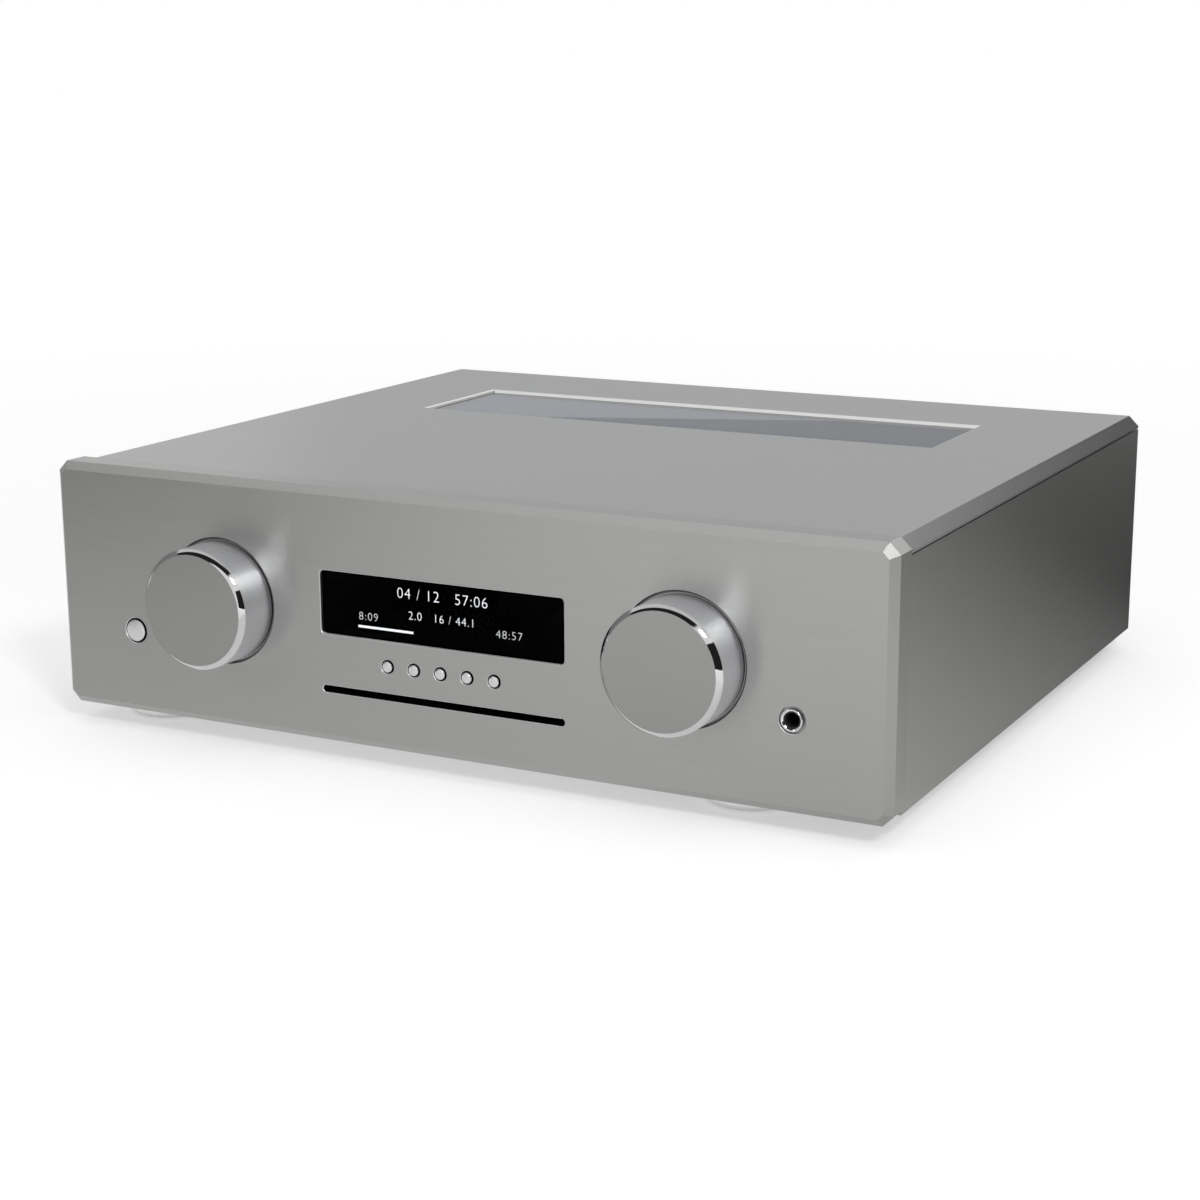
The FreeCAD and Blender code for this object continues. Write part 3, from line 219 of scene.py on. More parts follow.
mirrored_board("board_floor_front", (-0.05, -0.27, 0.003), (0.4, 0, 0), (0, 0.15, 0), 0.84, (0.5, 0.5))
mirrored_board("board_rear", (0.9, 1.5, 0.45), (0.9, -0.15, 0), (0, 0, 0.46), 0.05, (0.3, 0.4))
mirrored_board("board_floor_rear", (0.317, 0.725, 0.005), (0.507, 0.713, 0), (-0.448, 0.319, 0),
               0.07, (0.17, 0.67))
mirrored_board("board_back", (-1.3, 3.2, 0.42), (1.7, 0, 0), (0, 0, 0.44), 0.80, (0.2, 0),
               (0.93, 0.96, 1.0))
mirrored_board("board_behind", (-1.25, 2.8, 0.968), (0.95, 0, -0.097), (0, 0, 0.36), 0.58, (0, 0),
               (0.93, 0.95, 1.0))


# Front plate and inner front
# The front is a 16 mm aluminium plate, milled, bevelled, brushed from side to side and anodised in
# natural silver. The inner front is a bent steel sheet screwed behind it.
def own_place(tree, scale=(1, 1, 1), shift=(0, 0, 0)):
    """The piece's own coordinates, stretched by scale and moved by shift."""
    coords = tree.nodes.new("ShaderNodeTexCoord")
    mapping = tree.nodes.new("ShaderNodeMapping")
    mapping.inputs["Location"].default_value = shift
    mapping.inputs["Scale"].default_value = scale
    tree.links.new(coords.outputs["Object"], mapping.inputs["Vector"])
    return mapping.outputs["Vector"]


def noise(tree, vector, detail=2.0, roughness=0.5):
    """A soft random pattern, one step to a unit."""
    cloud = tree.nodes.new("ShaderNodeTexNoise")
    cloud.inputs["Scale"].default_value = 1.0
    cloud.inputs["Detail"].default_value = detail
    cloud.inputs["Roughness"].default_value = roughness
    tree.links.new(vector, cloud.inputs["Vector"])
    return cloud.outputs["Fac"]


def tones(tree, shader, value, first, second, low=0.3, high=0.7):
    """The shader's colour, from first to second as the pattern's value goes from low to high."""
    mix = tree.nodes.new("ShaderNodeMix")
    mix.data_type = "RGBA"
    mix.inputs["A"].default_value = (*first, 1)
    mix.inputs["B"].default_value = (*second, 1)
    tree.links.new(range_of(tree, value, 0.0, 1.0, low, high), mix.inputs["Factor"])
    tree.links.new(mix.outputs["Result"], shader.inputs["Base Color"])


def relief(tree, shader, value, depth, edge=0.0):
    """The pattern as fine relief, over edges that are broken by a small radius."""
    bump = tree.nodes.new("ShaderNodeBump")
    bump.inputs["Strength"].default_value = 1.0
    bump.inputs["Distance"].default_value = depth
    tree.links.new(value, bump.inputs["Height"])
    if edge:
        soft_edge = tree.nodes.new("ShaderNodeBevel")
        soft_edge.samples = 6
        soft_edge.inputs["Radius"].default_value = edge
        tree.links.new(soft_edge.outputs["Normal"], bump.inputs["Normal"])
    tree.links.new(bump.outputs["Normal"], shader.inputs["Normal"])


def overlay(tree, socket, mask, value):
    """Puts a colour or number of its own on the socket where the mask is 1."""
    mix = tree.nodes.new("ShaderNodeMix")
    mix.data_type = "FLOAT" if isinstance(value, float) else "RGBA"
    mix.inputs["B"].default_value = value if isinstance(value, float) else (*value, 1)
    tree.links.new(socket.links[0].from_socket, mix.inputs["A"])
    tree.links.new(mask, mix.inputs["Factor"])
    tree.links.new(mix.outputs["Result"], socket)


def cut_faces(tree, low, high, axis):
    """1 inside a box on the faces that don't face along the axis: the walls and edges a cutter left."""
    half = [(b - a) / 2 for a, b in zip(low, high)]
    place = own_place(tree, [1 / h for h in half], [-(a + b) / 2 / h for a, b, h in zip(low, high, half)])
    x, y, z = (maths(tree, "ABSOLUTE", part) for part in axes_of(tree, place))
    inside = maths(tree, "LESS_THAN", maths(tree, "MAXIMUM", maths(tree, "MAXIMUM", x, y), z), 1.0)
    coords = tree.nodes.new("ShaderNodeTexCoord")
    facing = axes_of(tree, coords.outputs["Normal"])
    aside = maths(tree, "LESS_THAN", maths(tree, "ABSOLUTE", facing[axis]), 0.95)
    return maths(tree, "MULTIPLY", inside, aside)


def spread_gloss(tree, shader, way, amount):
    """Fine parallel scratches spread a highlight one way: across them."""
    shader.inputs["Anisotropic"].default_value = amount
    direction = tree.nodes.new("ShaderNodeCombineXYZ")
    for axis, value in zip("XYZ", way):
        direction.inputs[axis].default_value = value
    tree.links.new(direction.outputs[0], shader.inputs["Tangent"])


def brushed_metal(name, colour, roughness, scale, edge=0.2 * MM, metallic=1.0, contrast=0.035, way=None):
    """Metal with fine parallel scratches; scale is steps per metre along each axis."""
    material, tree, shader = new_material(name)
    shader.inputs["Metallic"].default_value = metallic
    hairs = noise(tree, own_place(tree, scale), 3.0, 0.6)
    broad = noise(tree, own_place(tree, tuple(s * 0.13 for s in scale)), 1.0)
    both = maths(tree, "ADD", maths(tree, "MULTIPLY", hairs, 0.7), range_of(tree, broad, 0.0, 0.3))
    tones(tree, shader, both, [c * (1 - contrast) for c in colour], [c * (1 + contrast) for c in colour])
    tree.links.new(range_of(tree, hairs, roughness - 0.04, roughness + 0.04, 0.3, 0.7),
                   shader.inputs["Roughness"])
    relief(tree, shader, hairs, 0.001 * MM, edge)
    if way:
        spread_gloss(tree, shader, way, 0.85)
    return material


def coat(material, *names):
    """The finish of CAD nodes whose shape stays as it is."""
    for name in names:
        node = nodes[name]
        if not node.material_slots:
            node.data.materials.append(material)
        for place in node.material_slots:
            place.material = material


def off_axis(tree, x, z):
    """The distance from a line that runs from front to back."""
    return length_of(tree, own_place(tree, (1, 0, 1), (-x, 0, -z)))


silver = (0.385, 0.383, 0.375)
front_brushed = brushed_metal("front_brushed", silver, 0.32, (30, 1500, 3600), 0.1 * MM, way=(0, 0.5, 0.87))
tree = front_brushed.node_tree
shader = tree.nodes["Principled BSDF"]
colour, roughness, grain_way = (shader.inputs[name] for name in ("Base Color", "Roughness", "Tangent"))
front_y = -184.0 * MM
before_y, behind_y = -190.0 * MM, -160.0 * MM
plate_left, plate_right = -210.0 * MM, 210.0 * MM
plate_low, plate_high = 15.0 * MM, 125.0 * MM
plate_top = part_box("front_panel")[1].z
broken_edge = 0.32 * MM
opening = 66.0 * MM

# The walls of the button holes are coloured nearly black, a painted shade. The broken edges round every
# opening and the walls of the display cut-out are coloured pale, a painted highlight, and are rougher as the
# cutter left them; the disc slot's walls are coloured black, a painted shade.
hole_wall_shade = cut_faces(tree, (plate_left, front_y + broken_edge, plate_low),
                       (150 * MM, front_y + 4 * MM, plate_high), "Y")
overlay(tree, colour, hole_wall_shade, (0.06, 0.06, 0.06))
broken_edges = cut_faces(tree, (plate_left, before_y, plate_low),
                         (plate_right, front_y + broken_edge, plate_high), "Y")
display_walls = cut_faces(tree, (-opening, before_y, 55 * MM), (opening, behind_y, 100 * MM), "Y")
milled_and_highlit = maths(tree, "MAXIMUM", broken_edges, display_walls)
# Painted highlight: these edges and walls are coloured far paler than the plate; their higher roughness is
# the cutter's.
overlay(tree, colour, milled_and_highlit, (0.78, 0.78, 0.78))
overlay(tree, roughness, milled_and_highlit, 0.5)
# Painted shade: the walls inside the disc slot are coloured nearly black.
slot_shade = cut_faces(tree, (-opening, front_y + 0.9 * MM, 30 * MM), (opening, behind_y, 48 * MM), "Y")
overlay(tree, colour, slot_shade, (0.03, 0.03, 0.03))

# The knobs' wells are painted dark as shade: the wall darkest, in the knob's shade, and the floor behind the
# knob less dark.
coords = tree.nodes.new("ShaderNodeTexCoord")
place = axes_of(tree, coords.outputs["Object"])
facing = axes_of(tree, coords.outputs["Normal"])
sunk = maths(tree, "GREATER_THAN", place["Y"], front_y + 0.03 * MM)
for name in ("source_knob", "volume_knob"):
    low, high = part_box(name)
    reach = off_axis(tree, (low.x + high.x) / 2, (low.z + high.z) / 2)
    for radius, tone in ((30.45 * MM, 0.10), (29.2 * MM, 0.32)):
        well = maths(tree, "MULTIPLY", maths(tree, "LESS_THAN", reach, radius), sunk)
        overlay(tree, colour, well, (tone, tone, tone))

# The corner cuts, the facets before them, the plate's ends and its upper bevel were each cut with their own
# tool, which gives the facets and the upper bevel their own roughness and the bevel its grain. Their colours
# are painted light: the corner cuts and the upper bevel paler than the plate, a painted highlight, and the
# plate's ends darker, a painted shade. Slant is 0.5 on a corner cut, 0.25 on a facet and 0 on the straight
# edges.
slant = maths(tree, "ABSOLUTE", maths(tree, "MULTIPLY", facing["X"], facing["Z"]))
far_out = maths(tree, "GREATER_THAN", maths(tree, "ABSOLUTE", place["X"]), 207.8 * MM)
facets = maths(tree, "MULTIPLY", far_out, maths(tree, "GREATER_THAN", slant, 0.2))
overlay(tree, roughness, facets, 0.49)
highlit_corner_cuts = maths(tree, "MULTIPLY", far_out, maths(tree, "GREATER_THAN", slant, 0.4))
# Painted highlight on the corner cuts.
overlay(tree, colour, highlit_corner_cuts, (0.61, 0.61, 0.60))
sideways = maths(tree, "GREATER_THAN", maths(tree, "ABSOLUTE", facing["X"]), 0.95)
# Painted shade: the plate's ends are coloured darker than its front.
overlay(tree, colour, maths(tree, "MULTIPLY", far_out, sideways), (0.31, 0.308, 0.30))
upper_edge = cut_faces(tree, (-209.5 * MM, before_y, plate_top - 3.7 * MM),
                       (209.5 * MM, front_y + 3.65 * MM, plate_top + MM), "Y")
highlit_top_bevel = maths(tree, "MULTIPLY", upper_edge, maths(tree, "LESS_THAN", slant, 0.1))
# Painted highlight on the upper bevel.
overlay(tree, colour, highlit_top_bevel, (0.61, 0.61, 0.60))
overlay(tree, roughness, highlit_top_bevel, 0.42)
overlay(tree, grain_way, highlit_top_bevel, (1.0, 0.05, 0.05))
coat(front_brushed, "front_panel")


def sheet_steel(name, colour, roughness, step=160.0):
    """Plated steel sheet: a faint crystal pattern and soft blotches."""
    material, tree, shader = new_material(name)
    shader.inputs["Metallic"].default_value = 0.85
    crystals = tree.nodes.new("ShaderNodeTexVoronoi")
    crystals.inputs["Scale"].default_value = step
    tree.links.new(own_place(tree), crystals.inputs["Vector"])
    cloud = noise(tree, own_place(tree, (60, 60, 60)), 4.0)
    both = maths(tree, "ADD", maths(tree, "MULTIPLY", crystals.outputs["Color"], 0.4), cloud)
    tones(tree, shader, both, [c * 0.86 for c in colour], [c * 1.08 for c in colour], 0.4, 0.95)
    tree.links.new(range_of(tree, cloud, roughness - 0.08, roughness + 0.08, 0.3, 0.7),
                   shader.inputs["Roughness"])
    relief(tree, shader, cloud, 0.004 * MM, 0.2 * MM)
    return material


zinc_sheet = sheet_steel("zinc_sheet", (0.46, 0.47, 0.48), 0.38)
coat(zinc_sheet, "inner_front")


# Display
# A sheet of clear glass sits behind the cut-out, and the black lit panel is pressed to its back.
# The lit figures and the bar of elapsed time are on the panel's face, just behind the glass.
def made(name, bm, materials, body, slot, *replaced, sharp=30.0):
    """The finished piece: smooth faces with crisp edges, riding on its body."""
    mesh = bpy.data.meshes.new(name)
    bm.to_mesh(mesh)
    bm.free()
    for material in materials:
        mesh.materials.append(material)
    mesh.shade_smooth()
    mesh.set_sharp_from_angle(angle=math.radians(sharp))
    piece = bpy.data.objects.new(name, mesh)
    bpy.context.scene.collection.objects.link(piece)
    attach(piece, body)
    if replaced:
        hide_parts(*replaced)
    return piece


node_slot = {entry["node"]: entry["material_slot"] for entry in frame["record"]["subparts"]}


def figures(bm, text, height, x, y, z, facing=-1, spacing=1.0):
    """Adds upright figures, their middle at x, z on the plane y; facing -1 is seen from the front."""
    lettering = bpy.data.curves.new("figures", "FONT")
    lettering.body = text
    lettering.align_x = "CENTER"
    lettering.align_y = "CENTER"
    lettering.size = height / 0.72
    lettering.space_character = spacing
    lettering.offset = -0.026 * height
    lettering.resolution_u = 4
    holder = bpy.data.objects.new("figures", lettering)
    flat = bpy.data.meshes.new_from_object(holder)
    turn = Matrix.Rotation(math.pi / 2, 4, "X")
    if facing > 0:
        turn = Matrix.Rotation(math.pi, 4, "Z") @ turn
    flat.transform(Matrix.Translation((x, y, z)) @ turn)
    bm.from_mesh(flat)
    bpy.data.meshes.remove(flat)
    bpy.data.objects.remove(holder)
    bpy.data.curves.remove(lettering)


def bar(bm, x0, x1, y0, y1, z0, z1, round_off=0.0, segments=2):
    """Adds a block between two corners, with its edges rounded."""
    made_now = bmesh.ops.create_cube(bm, size=1.0)["verts"]
    bmesh.ops.scale(bm, verts=made_now, vec=(x1 - x0, y1 - y0, z1 - z0))
    bmesh.ops.translate(bm, verts=made_now, vec=((x0 + x1) / 2, (y0 + y1) / 2, (z0 + z1) / 2))
    if round_off:
        edges = list({e for v in made_now for e in v.link_edges})
        bmesh.ops.bevel(bm, geom=edges, offset=round_off, affect="EDGES", segments=segments,
                        profile=0.5, material=-1)


glass, tree, shader = new_material("display_clear_glass")
shader.inputs["Base Color"].default_value = (0.95, 0.96, 0.97, 1)
shader.inputs["Transmission Weight"].default_value = 1.0
shader.inputs["IOR"].default_value = 1.06
smears = noise(tree, own_place(tree, (35, 35, 70)), 3.0)
tree.links.new(range_of(tree, smears, 0.0, 0.004, 0.4, 0.7), shader.inputs["Roughness"])
coat(glass, "display_glass")

panel_black, tree, shader = new_material("display_black")
cells = tree.nodes.new("ShaderNodeTexChecker")
cells.inputs["Scale"].default_value = 3400.0
tree.links.new(own_place(tree), cells.inputs["Vector"])
tones(tree, shader, cells.outputs["Fac"], (0.0003, 0.0003, 0.0004), (0.0008, 0.0008, 0.001), 0.0, 1.0)
shader.inputs["Roughness"].default_value = 0.6
shader.inputs["Specular IOR Level"].default_value = 0.01
coat(panel_black, "display_module")


def lit_dots(name, strength):
    """Glowing dots of the panel."""
    material, tree, shader = new_material(name)
    shader.inputs["Base Color"].default_value = (0.02, 0.02, 0.02, 1)
    shader.inputs["Emission Strength"].default_value = strength
    dots = tree.nodes.new("ShaderNodeTexChecker")
    dots.inputs["Scale"].default_value = 5200.0
    dots.inputs["Color1"].default_value = (0.94, 0.97, 1.0, 1)
    dots.inputs["Color2"].default_value = (0.86, 0.90, 0.95, 1)
    tree.links.new(own_place(tree), dots.inputs["Vector"])
    tree.links.new(dots.outputs["Color"], shader.inputs["Emission Color"])
    return material


lit = lit_dots("display_lit", 1.1)
lit_low = lit_dots("display_lit_low", 0.75)

module_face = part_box("display_module")[0].y - 0.04 * MM
display_z = 76.7 * MM
bm = bmesh.new()
figures(bm, "8:09", 3.9 * MM, -39.6 * MM, module_face, display_z - 5.5 * MM, spacing=1.16)
figures(bm, "48:57", 3.9 * MM, 33.9 * MM, module_face, display_z - 5.9 * MM, spacing=1.16)
for face in bm.faces:
    face.material_index = 1
figures(bm, "04 / 12   57:06", 5.2 * MM, -0.4 * MM, module_face, display_z + 7.4 * MM, spacing=1.1)
figures(bm, "2.0   16 / 44.1", 4.0 * MM, -0.8 * MM, module_face, display_z - 2.5 * MM, spacing=1.1)
bar(bm, -45.2 * MM, -15.8 * MM, module_face, module_face + 0.03 * MM,
    display_z - 10.8 * MM, display_z - 9.7 * MM, 0.01 * MM, 1)
made("display_figures", bm, [lit, lit_low], "cabinet", node_slot["display_module"])


# Control board and push buttons
# Seven parts behind the plate: one long green circuit board with its switches, and turned, polished
# caps that stand a hair proud of their holes. The power cap is larger, with a satin face.
def circuit_board(name, green=(0.012, 0.07, 0.028)):
    """Lacquered glass-fibre board with lighter tracks and dull tinned pads."""
    material, tree, shader = new_material(name)
    tracks = tree.nodes.new("ShaderNodeTexBrick")
    tracks.inputs["Scale"].default_value = 220.0
    tracks.inputs["Mortar Size"].default_value = 0.16
    tracks.inputs["Color1"].default_value = (0, 0, 0, 1)
    tracks.inputs["Color2"].default_value = (0.25, 0.25, 0.25, 1)
    tracks.inputs["Mortar"].default_value = (1, 1, 1, 1)
    tree.links.new(own_place(tree), tracks.inputs["Vector"])
    tones(tree, shader, tracks.outputs["Color"], green, [c * 1.9 for c in green], 0.0, 1.0)
    shader.inputs["Roughness"].default_value = 0.32
    relief(tree, shader, tracks.outputs["Color"], 0.03 * MM, 0.15 * MM)
    return material


board_green = circuit_board("board_green")
coat(board_green, "control_board")


def turned(bm, profile, centre, axis="Y", steps=96, index=0):
    """Adds a lathe-turned shape. Profile holds (radius, along) points; off the axis it closes as a ring."""
    before = set(bm.faces)
    corners = [bm.verts.new((radius, along, 0)) for radius, along in profile]
    edges = [bm.edges.new(pair) for pair in zip(corners, corners[1:])]
    if profile[0][0] and profile[-1][0]:
        edges.append(bm.edges.new((corners[-1], corners[0])))
    bmesh.ops.spin(bm, geom=corners + edges, cent=(0, 0, 0), axis=(0, 1, 0), dvec=(0, 0, 0),
                   angle=2 * math.pi, steps=steps, use_merge=True, use_duplicate=False)
    faces = [face for face in bm.faces if face not in before]
    verts = list({vert for face in faces for vert in face.verts})
    bmesh.ops.remove_doubles(bm, verts=verts, dist=1e-7)
    faces = [face for face in bm.faces if face not in before]
    bmesh.ops.recalc_face_normals(bm, faces=faces)
    verts = list({vert for face in faces for vert in face.verts})
    turn = Matrix.Identity(4)
    if axis == "Z":
        turn = Matrix.Rotation(math.pi / 2, 4, "X")
    bmesh.ops.transform(bm, verts=verts, matrix=Matrix.Translation(centre) @ turn)
    for face in faces:
        face.material_index = index
    return faces


def polished_metal(name, colour, roughness=0.06, step=300):
    """Diamond-turned or plated metal with a trace of turning lines and handling marks."""
    material, tree, shader = new_material(name)
    shader.inputs["Metallic"].default_value = 1.0
    marks = noise(tree, own_place(tree, (step, step * 3, step)), 3.0)
    tones(tree, shader, marks, [c * 0.97 for c in colour], colour)
    tree.links.new(range_of(tree, marks, roughness * 0.7, roughness * 1.4, 0.3, 0.7),
                   shader.inputs["Roughness"])
    relief(tree, shader, marks, 0.0003 * MM)
    return material


def moulded_plastic(name, colour, roughness=0.45, grain=0.02):
    """Injection-moulded plastic with a fine spark-eroded grain and slight tone changes."""
    material, tree, shader = new_material(name)
    pits = noise(tree, own_place(tree, (1400, 1400, 1400)), 2.0)
    cloud = noise(tree, own_place(tree, (45, 45, 45)), 3.0)
    tones(tree, shader, cloud, [c * 0.85 for c in colour], [c * 1.15 for c in colour])
    tree.links.new(range_of(tree, pits, roughness - 0.06, roughness + 0.08, 0.3, 0.7),
                   shader.inputs["Roughness"])
    relief(tree, shader, pits, grain * MM, 0.2 * MM)
    return material


black_plastic = moulded_plastic("black_plastic", (0.014, 0.014, 0.015))
cap_polish = polished_metal("cap_polish", (0.72, 0.72, 0.72), 0.1)
cap_satin = brushed_metal("cap_satin", (0.66, 0.66, 0.655), 0.38, (900, 900, 900), 0.0, contrast=0.02)
buttons = [("function_button_%d" % number, "key_%d" % number, 2.55 * MM) for number in range(1, 6)]
edge = 0.55 * MM
stem_radius = 1.7 * MM
for name, body, radius in buttons + [("power_button", "power_key", 5.3 * MM)]:
    low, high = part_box(name)
    middle = ((low.x + high.x) / 2, 0, (low.z + high.z) / 2)
    collar = radius + 1.5 * MM
    face_y = low.y
    profile = [(0, face_y), (radius - edge, face_y), (radius - edge * 0.45, face_y + edge * 0.18),
               (radius - edge * 0.12, face_y + edge * 0.55), (radius, face_y + edge),
               (radius, face_y + 1.5 * MM), (radius, face_y + 5.3 * MM),
               (collar, face_y + 5.5 * MM), (collar, face_y + 6.5 * MM),
               (stem_radius, face_y + 6.6 * MM), (stem_radius, high.y), (0, high.y)]
    bm = bmesh.new()
    faces = turned(bm, profile, middle, steps=64)
    for face in faces:
        centre = face.calc_center_median()
        reach = math.hypot(centre.x - middle[0], centre.z - middle[2])
        if centre.y < face_y + 0.01 * MM and reach < radius - edge:
            face.material_index = 1
        elif centre.y > face_y + 1.6 * MM:
            face.material_index = 2
    made(name + "_cap", bm, [cap_polish, cap_satin, black_plastic], body, node_slot[name], name)


# Knobs
# Each knob is a turned aluminium cup, 57 mm across, pressed on its encoder's steel shaft. The side is
# fine-turned, the face satin, and the bevel between them is cut with a diamond tool to a mirror.
def turned_metal(name, colour, roughness, centre, across=False):
    """Metal with lathe lines: rings on a face, or hoops round a side."""
    material, tree, shader = new_material(name)
    shader.inputs["Metallic"].default_value = 1.0
    lines = tree.nodes.new("ShaderNodeTexNoise")
    lines.noise_dimensions = "1D"
    lines.inputs["Scale"].default_value = 7000.0
    lines.inputs["Detail"].default_value = 2.0
    path = axes_of(tree, own_place(tree))["Y"] if across else off_axis(tree, centre[0], centre[2])
    tree.links.new(path, lines.inputs["W"])
    tones(tree, shader, lines.outputs["Fac"], [c * 0.99 for c in colour], [c * 1.01 for c in colour])
    tree.links.new(range_of(tree, lines.outputs["Fac"], roughness - 0.015, roughness + 0.015, 0.3, 0.7),
                   shader.inputs["Roughness"])
    relief(tree, shader, lines.outputs["Fac"], 0.0001 * MM)
    if across:
        spread_gloss(tree, shader, (0.06, 1, 0.05), 0.6)
    return material


bevel_mirror = polished_metal("bevel_mirror", (0.62, 0.62, 0.62), 0.03)
knob_radius = 28.5 * MM
knob_bevel = 2.3 * MM
knob_wall = 5.0 * MM
hub_radius = 8.0 * MM
shaft_radius = 3.0 * MM
for name in ("source", "volume"):
    low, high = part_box(name + "_knob")
    middle = ((low.x + high.x) / 2, 0, (low.z + high.z) / 2)
    face_y, back_y = low.y, high.y
    cavity_y = back_y - 14.0 * MM
    hub_y = back_y - 0.5 * MM
    profile = [(0, face_y), (knob_radius - knob_bevel - 0.05 * MM, face_y)] + [
        (knob_radius - knob_bevel * (1 - k / 6) + 0.1 * MM * math.sin(math.pi * k / 6),
         face_y + knob_bevel * k / 6 - 0.1 * MM * math.sin(math.pi * k / 6)) for k in range(7)] + [
               (knob_radius, back_y - 0.3 * MM), (knob_radius - 0.3 * MM, back_y),
               (knob_radius - knob_wall, back_y), (knob_radius - knob_wall, cavity_y),
               (hub_radius, cavity_y), (hub_radius, hub_y),
               (shaft_radius, hub_y), (shaft_radius, hub_y - 12.0 * MM), (0, hub_y - 12.0 * MM)]
    bm = bmesh.new()
    faces = turned(bm, profile, middle, steps=160)
    for face in faces:
        centre = face.calc_center_median()
        reach = math.hypot(centre.x - middle[0], centre.z - middle[2])
        if centre.y < face_y + knob_bevel and reach > knob_radius - knob_bevel - 0.03 * MM:
            face.material_index = 1
        elif centre.y > face_y + knob_bevel * 0.5:
            face.material_index = 2
    # Painted light: the side is coloured far paler than the face, though both are the same aluminium, to
    # brighten it and its reflection in the plate.
    made(name + "_knob_turned", bm,
         [turned_metal(name + "_face", (0.31, 0.308, 0.30), 0.34, middle), bevel_mirror,
          turned_metal(name + "_side", (0.78, 0.79, 0.815), 0.38, middle, True)],
         name + "_control", node_slot[name + "_knob"], name + "_knob", sharp=20.0)

steel_turned = brushed_metal("steel_turned", (0.52, 0.52, 0.53), 0.28, (900, 1500, 900), 0.1 * MM)
coat(steel_turned, "source_shaft", "volume_shaft", "knob_encoders")


# Headphone socket
# A 6.3 mm socket: a black moulded body and bore behind the plate, and a chromed ring nut with a
# black throat that sits in a shallow well of the plate.
chrome = polished_metal("chrome", (0.70, 0.70, 0.71), 0.09, 60)
low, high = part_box("headphone_ring")
jack_x = (low.x + high.x) / 2
jack_z = (low.z + high.z) / 2
ring_radius = (high.x - low.x) / 2
barrel_radius = 4.2 * MM
crest = 0.34 * MM
throat_radius = 3.9 * MM
profile = [(3.45 * MM, low.y + 1.3 * MM), (3.6 * MM, low.y + 0.75 * MM), (3.8 * MM, low.y + 0.5 * MM),
           (ring_radius - crest * 2, low.y + 0.12 * MM), (ring_radius - crest * 1.4, low.y),
           (ring_radius - crest * 0.8, low.y + 0.03 * MM), (ring_radius - crest * 0.25, low.y + 0.22 * MM),
           (ring_radius, low.y + 0.6 * MM), (ring_radius, high.y), (barrel_radius, high.y)]
bm = bmesh.new()
for face in turned(bm, profile, (jack_x, 0, jack_z), steps=96):
    centre = face.calc_center_median()
    reach = math.hypot(centre.x - jack_x, centre.z - jack_z)
    if reach < throat_radius and centre.y < low.y + 1.2 * MM:
        face.material_index = 1
made("headphone_ring_turned", bm, [chrome, black_plastic], "cabinet", node_slot["headphone_ring"],
     "headphone_ring", sharp=50)

coat(black_plastic, "headphone_jack")
low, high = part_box("headphone_jack")
bore_radius = 3.2 * MM
bm = bmesh.new()
profile = [(bore_radius, low.y + 18 * MM), (bore_radius, low.y - 0.02 * MM), (3.5 * MM, low.y - 0.1 * MM),
           (4.0 * MM, low.y - 0.02 * MM), (4.1 * MM, low.y + 0.5 * MM)]
turned(bm, profile, (jack_x, 0, jack_z), steps=64)
made("headphone_barrel_lip", bm, [black_plastic], "cabinet", node_slot["headphone_ring"])

# Lid and its window
# The lid is a 6 mm aluminium plate, bevelled along both sides and brushed across. Dark tinted glass
# lies in its rebate over the valves, a little below the milled, sloping rim.
lid_brushed = brushed_metal("lid_brushed", (0.425, 0.425, 0.423), 0.34, (30, 3000, 1500), 0.15 * MM,
                            way=(0, 0.5, 0.87))
tree = lid_brushed.node_tree
shader = tree.nodes["Principled BSDF"]
lid_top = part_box("top_cover")[1].z
lid_depth = 6.2 * MM
over_lid = lid_top + MM
rim_left, rim_step, rim_right = -149.5 * MM, -145.7 * MM, 149.5 * MM
rim_front, rim_rear = 42.0 * MM, 122.0 * MM
rim = maths(tree, "MAXIMUM",
            cut_faces(tree, (rim_step, rim_front, lid_top - lid_depth), (rim_right, rim_rear, over_lid), "Z"),
            cut_faces(tree, (rim_left, rim_front, lid_top - 0.7 * MM), (rim_step, rim_rear, over_lid), "Z"))
# Painted highlight: the milled rim is coloured far paler than the lid; its roughness and grain are the
# cutter's.
overlay(tree, shader.inputs["Base Color"], rim, (0.96, 0.96, 0.96))
overlay(tree, shader.inputs["Roughness"], rim, 0.4)
overlay(tree, shader.inputs["Tangent"], rim, (1.0, 0.05, 0.05))
coat(lid_brushed, "top_cover")

tinted, tree, shader = new_material("tinted_glass")
shader.inputs["Base Color"].default_value = (0.13, 0.14, 0.165, 1)
shader.inputs["Transmission Weight"].default_value = 1.0
shader.inputs["IOR"].default_value = 1.42
shader.inputs["Specular Tint"].default_value = (0.86, 0.91, 1.0, 1)
film = noise(tree, own_place(tree, (18, 30, 18)), 4.0)
tree.links.new(range_of(tree, film, 0.0, 0.012, 0.45, 0.75), shader.inputs["Roughness"])
coat(tinted, "cover_glass")

# Side panels and rails
# The sides are 4 mm aluminium, brushed lengthwise and anodised. The four square rails inside are
# drawn aluminium bar, tapped for the panels' screws.
side_brushed = brushed_metal("side_brushed", (0.37, 0.367, 0.357), 0.34, (900, 26, 3200), way=(0.5, 0, 0.87))
coat(side_brushed, "side_panel_left", "side_panel_right")
drawn_bar = brushed_metal("drawn_bar", (0.47, 0.47, 0.475), 0.3, (700, 20, 700))
coat(drawn_bar, "side_rails")

